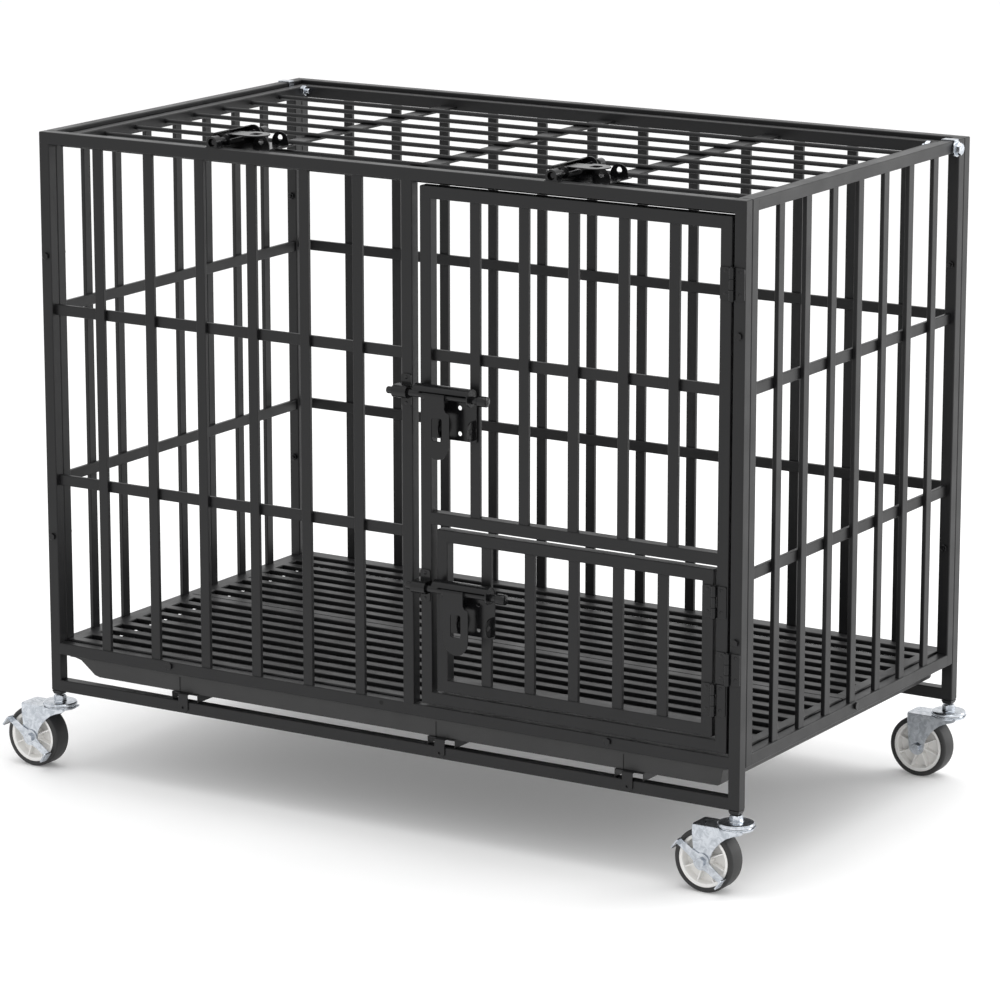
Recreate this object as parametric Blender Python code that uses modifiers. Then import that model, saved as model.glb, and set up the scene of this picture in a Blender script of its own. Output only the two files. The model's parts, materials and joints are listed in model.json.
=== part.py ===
"""Dog crate on casters: a steel tube cage with a main door, a small door in it, an opening lid, a slide-out
tray, slide bolts with hasp tongues, and four swivel casters.

Metres, +Z up. X runs along the length, -Y is the door side, and the floor is z = 0.
"""
import math

import bmesh
import bpy
from mathutils import Matrix, Vector

# Driving dimensions of the cage
LENGTH = 1.250
DEPTH = 0.715
POST_LENGTH = 0.898
POST_BOTTOM = 0.130
TUBE = 0.019
BAR_WIDTH = 0.017
BAR_THICKNESS = 0.007
BAR_SET_BACK = 0.002
WELD = 0.0005
GAP = 0.0003
SHEET = 0.0016

HALF_LENGTH = LENGTH / 2
HALF_DEPTH = DEPTH / 2
INNER_X = HALF_LENGTH - TUBE
INNER_Y = HALF_DEPTH - TUBE
TOP = POST_BOTTOM + POST_LENGTH
FRONT = -HALF_DEPTH

# Heights above the floor
LOWER_RAIL = POST_BOTTOM
BOTTOM_RAIL = POST_BOTTOM + 0.061
TOP_RAIL = TOP - TUBE
MID_BARS = (POST_BOTTOM + 0.336, POST_BOTTOM + 0.609)

# Front panel, left to right
FRONT_BAR_START = -0.524
FRONT_BAR_PITCH = 0.096
FRONT_BAR_COUNT = 6
JAMB_X = 0.044
BACK_BAR_COUNT = 12
SIDE_BAR_COUNT = 7
SIDE_BAR_PITCH = 0.082

# Doors
MAIN_DOOR_X = (0.077, 0.6025)
MAIN_DOOR_Z = (POST_BOTTOM + 0.084, POST_BOTTOM + 0.874)
MAIN_DIVIDER = POST_BOTTOM + 0.363
MAIN_MID_BAR = POST_BOTTOM + 0.611
SMALL_DOOR_X = (0.105, 0.5786)
SMALL_DOOR_Z = (POST_BOTTOM + 0.106, POST_BOTTOM + 0.357)
DOOR_BAR_COUNT = 5

# Door hinges
HINGE_STAND_OFF = 0.0044
KNUCKLE_RADIUS = 0.004
HINGE_PIN_RADIUS = 0.002
HINGE_BORE_RADIUS = 0.0023
LEAF_WIDTH = 0.0155
LEAF_CLEARANCE = 0.0045
HINGE_HEIGHT = 0.048
MAIN_HINGE_X = 0.6045
MAIN_HINGE_Z = (POST_BOTTOM + 0.1885, POST_BOTTOM + 0.7535)
SMALL_HINGE_X = 0.58105
SMALL_HINGE_Z = (POST_BOTTOM + 0.1395, POST_BOTTOM + 0.286)

# Lid
LID_TOP = TOP - 0.006
LID_HALF_X = INNER_X - 0.004
LID_HALF_Y = INNER_Y - 0.0045
LID_ROD_RADIUS = 0.0035
LID_ROD_PITCH = 0.080
LID_ROD_COUNT = 7
LID_CROSS_X = (-0.300, 0.0, 0.300)
LID_CROSS_WIDTH = 0.030
LID_CROSS_THICKNESS = 0.0035
PIVOT_Y = 0.306
PIVOT_Z = TOP - 0.0125
PIVOT_RADIUS = 0.004
PIVOT_BORE = 0.0043

# Floor grate, tray and its runners
GRATE_BOTTOM = POST_BOTTOM + 0.064
SLAT_COUNT = 7
GRATE_CROSS_X = (-0.205, 0.205)
RUNNER_X = (-0.366, 0.110, 0.438)
RUNNER_WIDTH = 0.050
RUNNER_HEIGHT = 0.0125
RUNNER_TAB_WIDTH = 0.018
TRAY_BOTTOM = LOWER_RAIL + TUBE + GAP + RUNNER_HEIGHT + GAP
TRAY_TOP = BOTTOM_RAIL - 0.001
TRAY_FRONT = -0.350
TRAY_BACK = 0.334
TRAY_WALL = 0.002

# Casters
STEM_X = HALF_LENGTH - TUBE / 2
STEM_Y = HALF_DEPTH - TUBE / 2
STEM_RADIUS = 0.005
STEM_HOLE_RADIUS = 0.0055
STEM_TOP = POST_BOTTOM + 0.024
CAP_HEIGHT = 0.0065
WHEEL_RADIUS = 0.049
WHEEL_HALF_WIDTH = 0.017
HUB_RADIUS = 0.041
WHEEL_SIDES = 20
TRAIL = 0.045
AXLE_RADIUS = 0.004
AXLE_BORE = 0.0043
CHEEK_INNER = 0.0185
CHEEK_OUTER = 0.021
CROWN_BOTTOM = 0.1015
CROWN_TOP = 0.104
PEDAL_ANGLE = math.radians(35)

# Slide bolts: the rod's axis is this far in front of the face that carries them
ROD_STAND_OFF = 0.014
ROD_RADIUS = 0.0055
ROD_BORE = 0.0059
KNOB_RADIUS = 0.008
CURL_RADIUS = 0.009
ROOF_RADIUS = 0.0137
ROOF_RISE = 0.0025
BASE_X = (0.052, 0.149)
BASE_BOTTOM = -0.067
CURL_X = (0.067, 0.1053)
TONGUE_X = (0.0706, 0.1144)
EYE_X = (0.0925, 0.1437)
EYE_CENTRE_Z = -0.049
EYE_RADIUS = 0.015
MAIN_LATCH = (0.028, POST_BOTTOM + 0.564)
SMALL_LATCH = (0.060, POST_BOTTOM + 0.268)
LID_LATCH_X = (-0.298, 0.302)
LID_ROD_TIP = 0.035
LID_LATCH_Y = -0.352 - LID_ROD_TIP
LID_TONGUE_LENGTH = 0.062
DOOR_TONGUE_LENGTH = 0.095
# Turns a latch laid along X on the door so that it lies along Y on the lid
ON_LID = Matrix(((0, 0, -1, 0), (1, 0, 0, 0), (0, -1, 0, 0), (0, 0, 0, 1)))

POWDER_COAT = ("powder_coat", (0.018, 0.018, 0.019), 0.0, 0.5)
TRAY_PLASTIC = ("tray_plastic", (0.02, 0.02, 0.02), 0.0, 0.55)
BLACK_STEEL = ("black_steel", (0.012, 0.012, 0.012), 0.6, 0.4)
ZINC = ("zinc_plate", (0.72, 0.75, 0.78), 1.0, 0.3)
HUB_PLASTIC = ("hub_plastic", (0.78, 0.76, 0.72), 0.0, 0.4)
RUBBER = ("rubber", (0.02, 0.02, 0.02), 0.0, 0.7)


def new_material(name, finish):
    """A Principled material for one object, from a finish's colour, metallic value and roughness."""
    _, colour, metallic, roughness = finish
    material = bpy.data.materials.new(f"{name}_{finish[0]}")
    material.use_nodes = True
    shader = material.node_tree.nodes["Principled BSDF"]
    shader.inputs["Base Color"].default_value = (*colour, 1.0)
    shader.inputs["Metallic"].default_value = metallic
    shader.inputs["Roughness"].default_value = roughness
    return material


def mesh_from(bm, name="shape"):
    bmesh.ops.recalc_face_normals(bm, faces=bm.faces[:])
    mesh = bpy.data.meshes.new(name)
    bm.to_mesh(mesh)
    bm.free()
    return mesh


def boxes(*corner_pairs):
    """One mesh of boxes, each from its low and high corner."""
    bm = bmesh.new()
    for low, high in corner_pairs:
        low, high = Vector(low), Vector(high)
        place = Matrix.Translation((low + high) / 2) @ Matrix.Diagonal((*(high - low), 1.0))
        bmesh.ops.create_cube(bm, size=1.0, matrix=place)
    return mesh_from(bm)


def cylinders(*ends, radius, sides=12, end_radius=None):
    """One mesh of cylinders or cones, each from its start and end point."""
    bm = bmesh.new()
    for start, end in ends:
        start, end = Vector(start), Vector(end)
        turn = (end - start).to_track_quat("Z", "Y").to_matrix().to_4x4()
        bmesh.ops.create_cone(
            bm,
            cap_ends=True,
            segments=sides,
            radius1=radius,
            radius2=radius if end_radius is None else end_radius,
            depth=(end - start).length,
            matrix=Matrix.Translation((start + end) / 2) @ turn,
        )
    return mesh_from(bm)


def baked(mesh, *changes):
    """The mesh after modifiers: each change is a function that adds one to the object that it is given."""
    scratch = bpy.data.objects.new("scratch", mesh)
    bpy.context.scene.collection.objects.link(scratch)
    helpers = [change(scratch) for change in changes]
    graph = bpy.context.evaluated_depsgraph_get()
    result = bpy.data.meshes.new_from_object(scratch.evaluated_get(graph))
    for helper in filter(None, helpers):
        bpy.data.objects.remove(helper)
    bpy.data.objects.remove(scratch)
    return result


def boolean(operation, mesh):
    """A change that joins or cuts with another mesh."""

    def change(scratch):
        tool = bpy.data.objects.new("tool", mesh)
        bpy.context.scene.collection.objects.link(tool)
        modifier = scratch.modifiers.new(operation, "BOOLEAN")
        modifier.operation = operation
        modifier.solver = "EXACT"
        modifier.object = tool
        return tool

    return change


def joined(mesh, *others):
    return baked(mesh, *[boolean("UNION", other) for other in others])


def cut(mesh, *others):
    return baked(mesh, *[boolean("DIFFERENCE", other) for other in others])


def moved(mesh, place):
    bm = bmesh.new()
    bm.from_mesh(mesh)
    bm.transform(place)
    return mesh_from(bm)


def turned(profile, sides, axis="Z", closed=False):
    """A profile of (radius, height) points from top to bottom, turned about Z and laid along the axis."""
    bm = bmesh.new()
    points = [bm.verts.new((radius, 0.0, height)) for radius, height in profile]
    for first, second in zip(points, points[1:]):
        bm.edges.new((first, second))
    if closed:
        bm.edges.new((points[-1], points[0]))
    mesh = bpy.data.meshes.new("profile")
    bm.to_mesh(mesh)
    bm.free()

    def screw(scratch):
        modifier = scratch.modifiers.new("Turn", "SCREW")
        modifier.steps = modifier.render_steps = sides
        modifier.use_merge_vertices = True
        modifier.merge_threshold = 0.0000001
        modifier.use_normal_calculate = True

    mesh = baked(mesh, screw)
    lay = {
        "X": Matrix.Rotation(math.pi / 2, 4, "Y"),
        "Y": Matrix.Rotation(-math.pi / 2, 4, "X"),
        "Z": Matrix.Identity(4),
    }
    bm = bmesh.new()
    bm.from_mesh(mesh)
    bmesh.ops.remove_doubles(bm, verts=bm.verts[:], dist=0.0000001)
    bm.transform(lay[axis])
    return mesh_from(bm)


def plate(outlines, thickness, place):
    """A flat plate: the first outline is its rim and the rest are holes. place sets its middle plane."""
    curve = bpy.data.curves.new("outline", "CURVE")
    curve.dimensions = "2D"
    curve.fill_mode = "BOTH"
    curve.extrude = thickness / 2
    for outline in outlines:
        spline = curve.splines.new("POLY")
        spline.points.add(len(outline) - 1)
        for point, (x, y) in zip(spline.points, outline):
            point.co = (x, y, 0.0, 1.0)
        spline.use_cyclic_u = True
    guide = bpy.data.objects.new("outline", curve)
    mesh = bpy.data.meshes.new_from_object(guide)
    bpy.data.objects.remove(guide)
    bm = bmesh.new()
    bm.from_mesh(mesh)
    bmesh.ops.remove_doubles(bm, verts=bm.verts[:], dist=0.0000001)
    bm.transform(place)
    return mesh_from(bm)


def upright(y):
    """Places an outline of (x, z) points in the plane at this y."""
    turn = Matrix(((1, 0, 0, 0), (0, 0, -1, 0), (0, 1, 0, 0), (0, 0, 0, 1)))
    return Matrix.Translation((0.0, y, 0.0)) @ turn


def sideways(x):
    """Places an outline of (y, z) points in the plane at this x."""
    turn = Matrix(((0, 0, 1, 0), (1, 0, 0, 0), (0, 1, 0, 0), (0, 0, 0, 1)))
    return Matrix.Translation((x, 0.0, 0.0)) @ turn


def level(z):
    """Places an outline of (x, y) points in the plane at this height."""
    return Matrix.Translation((0.0, 0.0, z))


def arc(centre, radius, start, end, count):
    """Points on an arc, with its angles in degrees from the first axis towards the second."""
    steps = [math.radians(start + (end - start) * i / (count - 1)) for i in range(count)]
    return [(centre[0] + radius * math.cos(a), centre[1] + radius * math.sin(a)) for a in steps]


def circle(centre, radius, count=12):
    return arc(centre, radius, 0, 360 - 360 / count, count)


def evenly(low, high, count, width):
    """The low edges of count bars of this width, with equal gaps between low and high."""
    gap = (high - low - count * width) / (count + 1)
    return [low + gap + i * (gap + width) for i in range(count)]


class Crate:
    """The collection that the parts go into."""

    def __init__(self):
        self.collection = bpy.data.collections.new("dog_crate")
        bpy.context.scene.collection.children.link(self.collection)

    def add(self, name, mesh, finish, location=(0.0, 0.0, 0.0), rotation=None, parent=None, local=False):
        """Adds a part. Its mesh is in world coordinates, or about its own origin where local is set."""
        if not local:
            mesh.transform(Matrix.Translation(-Vector(location)))
        if mesh.users == 0 or not mesh.materials:
            mesh.materials.clear()
            mesh.materials.append(new_material(name, finish))
        part = bpy.data.objects.new(name, mesh)
        self.collection.objects.link(part)
        part.location = location
        if rotation is not None:
            part.rotation_euler = rotation.to_euler()
        if parent is not None:
            bpy.context.view_layer.update()
            part.parent = parent
            part.matrix_parent_inverse = parent.matrix_world.inverted()
        return part


def grille_x(y_outer, outward, bars, bar_z, mid_bars, mid_x, past=WELD):
    """Flat bars of a panel that faces Y: the uprights, and the flat bars lapped behind them.

    past is how far they run into the frame that bar_z and mid_x give."""
    face = y_outer - outward * BAR_SET_BACK
    back = face - outward * BAR_THICKNESS
    mid_face = back + outward * WELD
    mid_back = mid_face - outward * BAR_THICKNESS
    low, high = sorted((face, back))
    mid_low, mid_high = sorted((mid_face, mid_back))
    uprights = [((x, low, bar_z[0] - past), (x + BAR_WIDTH, high, bar_z[1] + past)) for x in bars]
    mids = [
        ((mid_x[0] - past, mid_low, z), (mid_x[1] + past, mid_high, z + BAR_WIDTH)) for z in mid_bars
    ]
    return uprights, mids


def stem_holes(mesh, outward):
    """The post bottoms of the front or back panel, bored for the caster stems."""
    past = 0.002
    stems = [
        ((side * STEM_X, outward * STEM_Y, POST_BOTTOM - past), (side * STEM_X, outward * STEM_Y, STEM_TOP + past))
        for side in (-1, 1)
    ]
    return cut(mesh, cylinders(*stems, radius=STEM_HOLE_RADIUS, sides=12))


def end_frame(outward):
    """Posts and rails of the front or back panel, as boxes."""
    outer = outward * HALF_DEPTH
    low, high = sorted((outer, outer - outward * TUBE))
    posts = [
        ((-HALF_LENGTH, low, POST_BOTTOM), (-INNER_X, high, TOP)),
        ((INNER_X, low, POST_BOTTOM), (HALF_LENGTH, high, TOP)),
    ]
    rails = [
        ((-INNER_X - WELD, low, z), (INNER_X + WELD, high, z + TUBE))
        for z in (LOWER_RAIL, BOTTOM_RAIL, TOP_RAIL)
    ]
    return posts, rails


def add_front_panel(crate):
    """The front's tube frame with its door jamb and lid keepers, and the flat bars that fill its left part."""
    posts, rails = end_frame(-1)
    jamb = (
        (JAMB_X, FRONT, BOTTOM_RAIL + TUBE / 2),
        (JAMB_X + TUBE, FRONT + TUBE, TOP_RAIL + TUBE / 2),
    )
    frame = stem_holes(joined(boxes(*posts, jamb), boxes(*rails)), -1)
    crate.add("front_panel", joined(frame, *[lid_keeper(x) for x in LID_LATCH_X]), POWDER_COAT)
    bars = [FRONT_BAR_START + i * FRONT_BAR_PITCH for i in range(FRONT_BAR_COUNT)]
    uprights, mids = grille_x(FRONT, -1, bars, (BOTTOM_RAIL + TUBE, TOP_RAIL), MID_BARS, (-INNER_X, JAMB_X), -GAP)
    crate.add("front_bars", joined(boxes(*uprights), boxes(*mids)), POWDER_COAT)


def add_back_panel(crate):
    """Posts, rails and bars welded into one."""
    posts, rails = end_frame(1)
    bars = evenly(-INNER_X, INNER_X, BACK_BAR_COUNT, BAR_WIDTH)
    uprights, mids = grille_x(HALF_DEPTH, 1, bars, (BOTTOM_RAIL + TUBE, TOP_RAIL), MID_BARS, (-INNER_X, INNER_X))
    crate.add("back_panel", stem_holes(joined(boxes(*posts, *uprights), boxes(*rails, *mids)), 1), POWDER_COAT)


def side_panel(crate, name, side):
    """A side panel: its own tube frame, between the posts, with flat bars."""
    outer = side * HALF_LENGTH
    end = INNER_Y - GAP
    low, high = sorted((outer, outer - side * TUBE))
    tubes = [
        ((low, -end, BOTTOM_RAIL), (high, -end + TUBE, TOP)),
        ((low, end - TUBE, BOTTOM_RAIL), (high, end, TOP)),
    ]
    rails = [((low, -end + TUBE - WELD, z), (high, end - TUBE + WELD, z + TUBE)) for z in (BOTTOM_RAIL, TOP_RAIL)]
    face = outer - side * BAR_SET_BACK
    back = face - side * BAR_THICKNESS
    mid_face = back + side * WELD
    mid_back = mid_face - side * BAR_THICKNESS
    bar_low, bar_high = sorted((face, back))
    mid_low, mid_high = sorted((mid_face, mid_back))
    middle = (SIDE_BAR_COUNT - 1) / 2
    bars = []
    for i in range(SIDE_BAR_COUNT):
        y = (i - middle) * SIDE_BAR_PITCH - BAR_WIDTH / 2
        bars.append(((bar_low, y, BOTTOM_RAIL + TUBE - WELD), (bar_high, y + BAR_WIDTH, TOP_RAIL + WELD)))
    reach = end - TUBE + WELD
    mids = [((mid_low, -reach, z), (mid_high, reach, z + BAR_WIDTH)) for z in MID_BARS]
    mesh = joined(boxes(*tubes, *bars), boxes(*rails, *mids))
    past = 0.002
    pivot = ((low - past, PIVOT_Y, PIVOT_Z), (high + past, PIVOT_Y, PIVOT_Z))
    mesh = cut(mesh, cylinders(pivot, radius=PIVOT_BORE, sides=12))
    return crate.add(name, mesh, POWDER_COAT)


def door(crate, name, x, z, rails_at, bar_z, mid_at, hinge, parent=None):
    """A door: a tube frame with bars in part of it."""
    low, high = FRONT, FRONT + TUBE
    stiles = [((x[0], low, z[0]), (x[0] + TUBE, high, z[1])), ((x[1] - TUBE, low, z[0]), (x[1], high, z[1]))]
    clear = (x[0] + TUBE, x[1] - TUBE)
    rails = [
        ((clear[0] - WELD, low, height), (clear[1] + WELD, high, height + TUBE))
        for height in (z[0], *rails_at, z[1] - TUBE)
    ]
    edges = evenly(*clear, DOOR_BAR_COUNT, BAR_WIDTH)
    uprights, mids = grille_x(FRONT, -1, edges, bar_z, mid_at, clear)
    mesh = joined(boxes(*stiles, *uprights), boxes(*rails, *mids))
    return crate.add(name, mesh, POWDER_COAT, location=hinge, parent=parent)


def add_frame(crate):
    add_front_panel(crate)
    add_back_panel(crate)
    side_panel(crate, "left_panel", -1)
    side_panel(crate, "right_panel", 1)


def add_doors(crate):
    hinge_y = FRONT - HINGE_STAND_OFF
    main = door(
        crate,
        "main_door",
        MAIN_DOOR_X,
        MAIN_DOOR_Z,
        (MAIN_DIVIDER,),
        (MAIN_DIVIDER + TUBE, MAIN_DOOR_Z[1] - TUBE),
        (MAIN_MID_BAR,),
        (MAIN_HINGE_X, hinge_y, POST_BOTTOM),
    )
    small = door(
        crate,
        "small_door",
        SMALL_DOOR_X,
        SMALL_DOOR_Z,
        (),
        (SMALL_DOOR_Z[0] + TUBE, SMALL_DOOR_Z[1] - TUBE),
        (),
        (SMALL_HINGE_X, hinge_y, POST_BOTTOM),
        main,
    )
    return main, small


def hinge_leaf(direction, knuckles):
    """A hinge's leaf about the bottom of its pin line, direction 1 towards +X. knuckles are thirds of its height."""
    face = HINGE_STAND_OFF - GAP
    third = HINGE_HEIGHT / 3
    ends = [direction * LEAF_CLEARANCE, direction * (LEAF_CLEARANCE + LEAF_WIDTH)]
    leaf = boxes(((min(ends), face - SHEET, 0.0), (max(ends), face, HINGE_HEIGHT)))
    straps, barrels = [], []
    reach = sorted((0.0, direction * (LEAF_CLEARANCE + WELD)))
    for index in knuckles:
        start = index * third + (GAP / 2 if index else 0.0)
        end = (index + 1) * third - (GAP / 2 if index < 2 else 0.0)
        straps.append(((reach[0], face - SHEET, start), (reach[1], face, end)))
        barrels.append(((0.0, 0.0, start), (0.0, 0.0, end)))
    return joined(leaf, boxes(*straps), cylinders(*barrels, radius=KNUCKLE_RADIUS, sides=12))


def pinned_leaf():
    """The fixed leaf, with its pin staked in the outer knuckles."""
    head, head_radius = 0.0012, 0.0028
    top = HINGE_HEIGHT + head
    profile = [
        (0.0, top),
        (head_radius, top),
        (head_radius, HINGE_HEIGHT - WELD),
        (HINGE_PIN_RADIUS, HINGE_HEIGHT - WELD),
        (HINGE_PIN_RADIUS, WELD),
        (head_radius, WELD),
        (head_radius, -head),
        (0.0, -head),
    ]
    pin = turned(profile, 8)
    return joined(hinge_leaf(1, (0, 2)), pin)


def swinging_leaf():
    """The leaf on the door, bored for the pin."""
    bore = cylinders(((0.0, 0.0, -0.001), (0.0, 0.0, HINGE_HEIGHT + 0.001)), radius=HINGE_BORE_RADIUS, sides=8)
    return cut(hinge_leaf(-1, (1,)), bore)


def add_hinges(crate, main, small):
    y = FRONT - HINGE_STAND_OFF
    fixed, swinging = pinned_leaf(), swinging_leaf()
    for level_name, main_z, small_z in zip(("lower", "upper"), MAIN_HINGE_Z, SMALL_HINGE_Z):
        at = (MAIN_HINGE_X, y, main_z)
        crate.add(f"main_hinge_{level_name}_post_leaf", fixed, BLACK_STEEL, at, local=True)
        crate.add(f"main_hinge_{level_name}_door_leaf", swinging, BLACK_STEEL, at, parent=main, local=True)
        at = (SMALL_HINGE_X, y, small_z)
        crate.add(f"small_hinge_{level_name}_frame_leaf", fixed, BLACK_STEEL, at, parent=main, local=True)
        crate.add(f"small_hinge_{level_name}_door_leaf", swinging, BLACK_STEEL, at, parent=small, local=True)


def add_lid(crate):
    """The lid: a tube frame, round rods along X, and flat cross members welded beneath them."""
    low, high = LID_TOP - TUBE, LID_TOP
    long_tubes = [
        ((-LID_HALF_X, -LID_HALF_Y, low), (LID_HALF_X, -LID_HALF_Y + TUBE, high)),
        ((-LID_HALF_X, LID_HALF_Y - TUBE, low), (LID_HALF_X, LID_HALF_Y, high)),
    ]
    reach = LID_HALF_Y - TUBE + WELD
    short_tubes = [
        ((-LID_HALF_X, -reach, low), (-LID_HALF_X + TUBE, reach, high)),
        ((LID_HALF_X - TUBE, -reach, low), (LID_HALF_X, reach, high)),
    ]
    rod_z = (low + high) / 2
    rod_end = LID_HALF_X - TUBE + WELD
    middle = (LID_ROD_COUNT - 1) / 2
    rods = [
        ((-rod_end, (i - middle) * LID_ROD_PITCH, rod_z), (rod_end, (i - middle) * LID_ROD_PITCH, rod_z))
        for i in range(LID_ROD_COUNT)
    ]
    cross_top = rod_z - LID_ROD_RADIUS + WELD
    crosses = [
        (
            (x - LID_CROSS_WIDTH / 2, -reach, cross_top - LID_CROSS_THICKNESS),
            (x + LID_CROSS_WIDTH / 2, reach, cross_top),
        )
        for x in LID_CROSS_X
    ]
    mesh = joined(boxes(*long_tubes), boxes(*short_tubes, *crosses), cylinders(*rods, radius=LID_ROD_RADIUS, sides=8))
    past = 0.002
    bores = []
    for side in (-1, 1):
        bores.append(
            (
                (side * (LID_HALF_X + past), PIVOT_Y, PIVOT_Z),
                (side * (LID_HALF_X - TUBE - past), PIVOT_Y, PIVOT_Z),
            )
        )
    mesh = cut(mesh, cylinders(*bores, radius=PIVOT_BORE, sides=12))
    return crate.add("lid", mesh, POWDER_COAT, location=(0.0, PIVOT_Y, PIVOT_Z))


def lid_pivot_mesh(side):
    """A saddle strap over the side rail, with the stud that the lid turns on fixed in its outer leg, and its nut."""
    strap_half_width = 0.007
    strap = 0.0015
    leg_bottom = PIVOT_Z - 0.010
    inner_leg, outer_leg = INNER_X - GAP, HALF_LENGTH + GAP
    strap_top = TOP + GAP + strap
    y_low, y_high = -strap_half_width, strap_half_width
    low, over = leg_bottom - PIVOT_Z, TOP + GAP - PIVOT_Z
    top = strap_top - PIVOT_Z
    saddle = [
        (inner_leg - strap, low),
        (inner_leg, low),
        (inner_leg, over),
        (outer_leg, over),
        (outer_leg, low),
        (outer_leg + strap, low),
        (outer_leg + strap, top),
        (inner_leg - strap, top),
    ]
    saddle = plate([saddle], y_high - y_low, upright(0.0))
    inner_bore = cylinders(((inner_leg - 0.003, 0, 0), (inner_leg + 0.003, 0, 0)), radius=PIVOT_BORE, sides=12)
    start = outer_leg + strap / 2
    nut = LID_HALF_X - TUBE - GAP
    stud = turned(
        [
            (0.0, start + 0.0105),
            (0.0085, start + 0.0105),
            (0.0100, start + 0.0090),
            (0.0100, start + 0.0030),
            (0.0125, start + 0.0030),
            (0.0125, start),
            (PIVOT_RADIUS, start),
            (PIVOT_RADIUS, nut - 0.014),
            (0.0, nut - 0.014),
        ],
        12,
        "X",
    )
    hexagon = cylinders(((nut - 0.008, 0, 0), (nut, 0, 0)), radius=0.0085, sides=6)
    mesh = joined(cut(saddle, inner_bore), stud, hexagon)
    return moved(mesh, Matrix.Diagonal((side, 1.0, 1.0, 1.0)))


def add_lid_pivots(crate):
    for name, side in (("left", -1), ("right", 1)):
        crate.add(f"lid_pivot_{name}", lid_pivot_mesh(side), ZINC, (0.0, PIVOT_Y, PIVOT_Z), local=True)


def add_floor(crate):
    """The two halves of the floor grate, each a tube frame with flat slats and two cross bars beneath."""
    end_x = INNER_X - GAP
    low, high = GRATE_BOTTOM, GRATE_BOTTOM + TUBE
    for name, side in (("floor_grate_front", -1), ("floor_grate_back", 1)):
        near, far = GAP, INNER_Y - GAP

        def spread(start, end):
            return sorted((side * start, side * end))

        y_near = spread(near, near + TUBE)
        y_far = spread(far - TUBE, far)
        y_ends = spread(near + TUBE - WELD, far - TUBE + WELD)
        long_tubes = [((-end_x, y[0], low), (end_x, y[1], high)) for y in (y_near, y_far)]
        ends = [
            ((sign_low, y_ends[0], low), (sign_high, y_ends[1], high))
            for sign_low, sign_high in ((-end_x, -end_x + TUBE), (end_x - TUBE, end_x))
        ]
        crosses = [
            (
                (x - BAR_WIDTH / 2, y_ends[0], high - 2 * BAR_THICKNESS + WELD),
                (x + BAR_WIDTH / 2, y_ends[1], high - BAR_THICKNESS + WELD),
            )
            for x in GRATE_CROSS_X
        ]
        first, last = near + TUBE / 2, far - TUBE / 2
        slats = []
        for i in range(1, SLAT_COUNT + 1):
            middle = first + (last - first) * i / (SLAT_COUNT + 1)
            y_low, y_high = spread(middle - BAR_WIDTH / 2, middle + BAR_WIDTH / 2)
            reach = end_x - TUBE + WELD
            slats.append(((-reach, y_low, high - BAR_THICKNESS), (reach, y_high, high)))
        mesh = joined(boxes(*long_tubes, *slats), boxes(*ends, *crosses))
        crate.add(name, mesh, POWDER_COAT)


def add_tray(crate):
    """The tray, an outline of (x, z) points run along Y and hollowed, and the three runners that it slides on."""
    left, right = -0.592, 0.600
    left_foot, right_foot = -0.538, 0.590
    wall = TRAY_WALL
    outer = [
        (left, TRAY_TOP),
        (left, TRAY_TOP - wall),
        (left + 0.022, TRAY_TOP - wall - 0.003),
        (left_foot - 0.008, TRAY_BOTTOM + 0.005),
        (left_foot + 0.004, TRAY_BOTTOM),
        *arc((right_foot - 0.006, TRAY_BOTTOM + 0.006), 0.006, -90, 0, 4),
        (right_foot + 0.004, TRAY_TOP - wall - 0.001),
        (right, TRAY_TOP - wall),
        (right, TRAY_TOP),
    ]
    inner = [
        (left + 0.024, TRAY_TOP + wall),
        (left + 0.024, TRAY_TOP - wall),
        (left_foot - 0.006, TRAY_BOTTOM + 0.005 + wall),
        (left_foot + 0.006, TRAY_BOTTOM + wall),
        (right_foot - 0.008, TRAY_BOTTOM + wall),
        (right_foot - wall, TRAY_BOTTOM + 0.008),
        (right_foot + 0.002, TRAY_TOP - wall),
        (right_foot + 0.002, TRAY_TOP + wall),
    ]
    depth = TRAY_BACK - TRAY_FRONT
    middle = (TRAY_BACK + TRAY_FRONT) / 2
    body = plate([outer], depth, upright(middle))
    hollow = plate([inner], depth - 2 * wall, upright(middle))
    crate.add("tray", cut(body, hollow), TRAY_PLASTIC, location=(0.0, TRAY_FRONT, TRAY_BOTTOM))
    for name, x in zip(("left", "middle", "right"), RUNNER_X):
        crate.add(f"tray_runner_{name}", runner_mesh(), POWDER_COAT, (x, 0.0, LOWER_RAIL + TUBE + GAP), local=True)


def runner_mesh():
    """A tray runner: a channel along Y that is open below, with a tab bent down in front of the lower rail."""
    half, tab_half = RUNNER_WIDTH / 2, RUNNER_TAB_WIDTH / 2
    end = HALF_DEPTH - 0.004
    front = FRONT - GAP
    top = RUNNER_HEIGHT
    channel = boxes(((-half, -end, 0.0), (half, end, top)))
    hollow = boxes(((-half + SHEET, -end - 0.001, -0.001), (half - SHEET, end + 0.001, top - SHEET)))
    tab = boxes(((-tab_half, front - SHEET, top - SHEET), (tab_half, -end + WELD, top)))
    drop = boxes(((-tab_half, front - SHEET, 0.002 - TUBE - GAP), (tab_half, front, top - SHEET / 2)))
    return joined(cut(channel, hollow), tab, drop)


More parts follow.
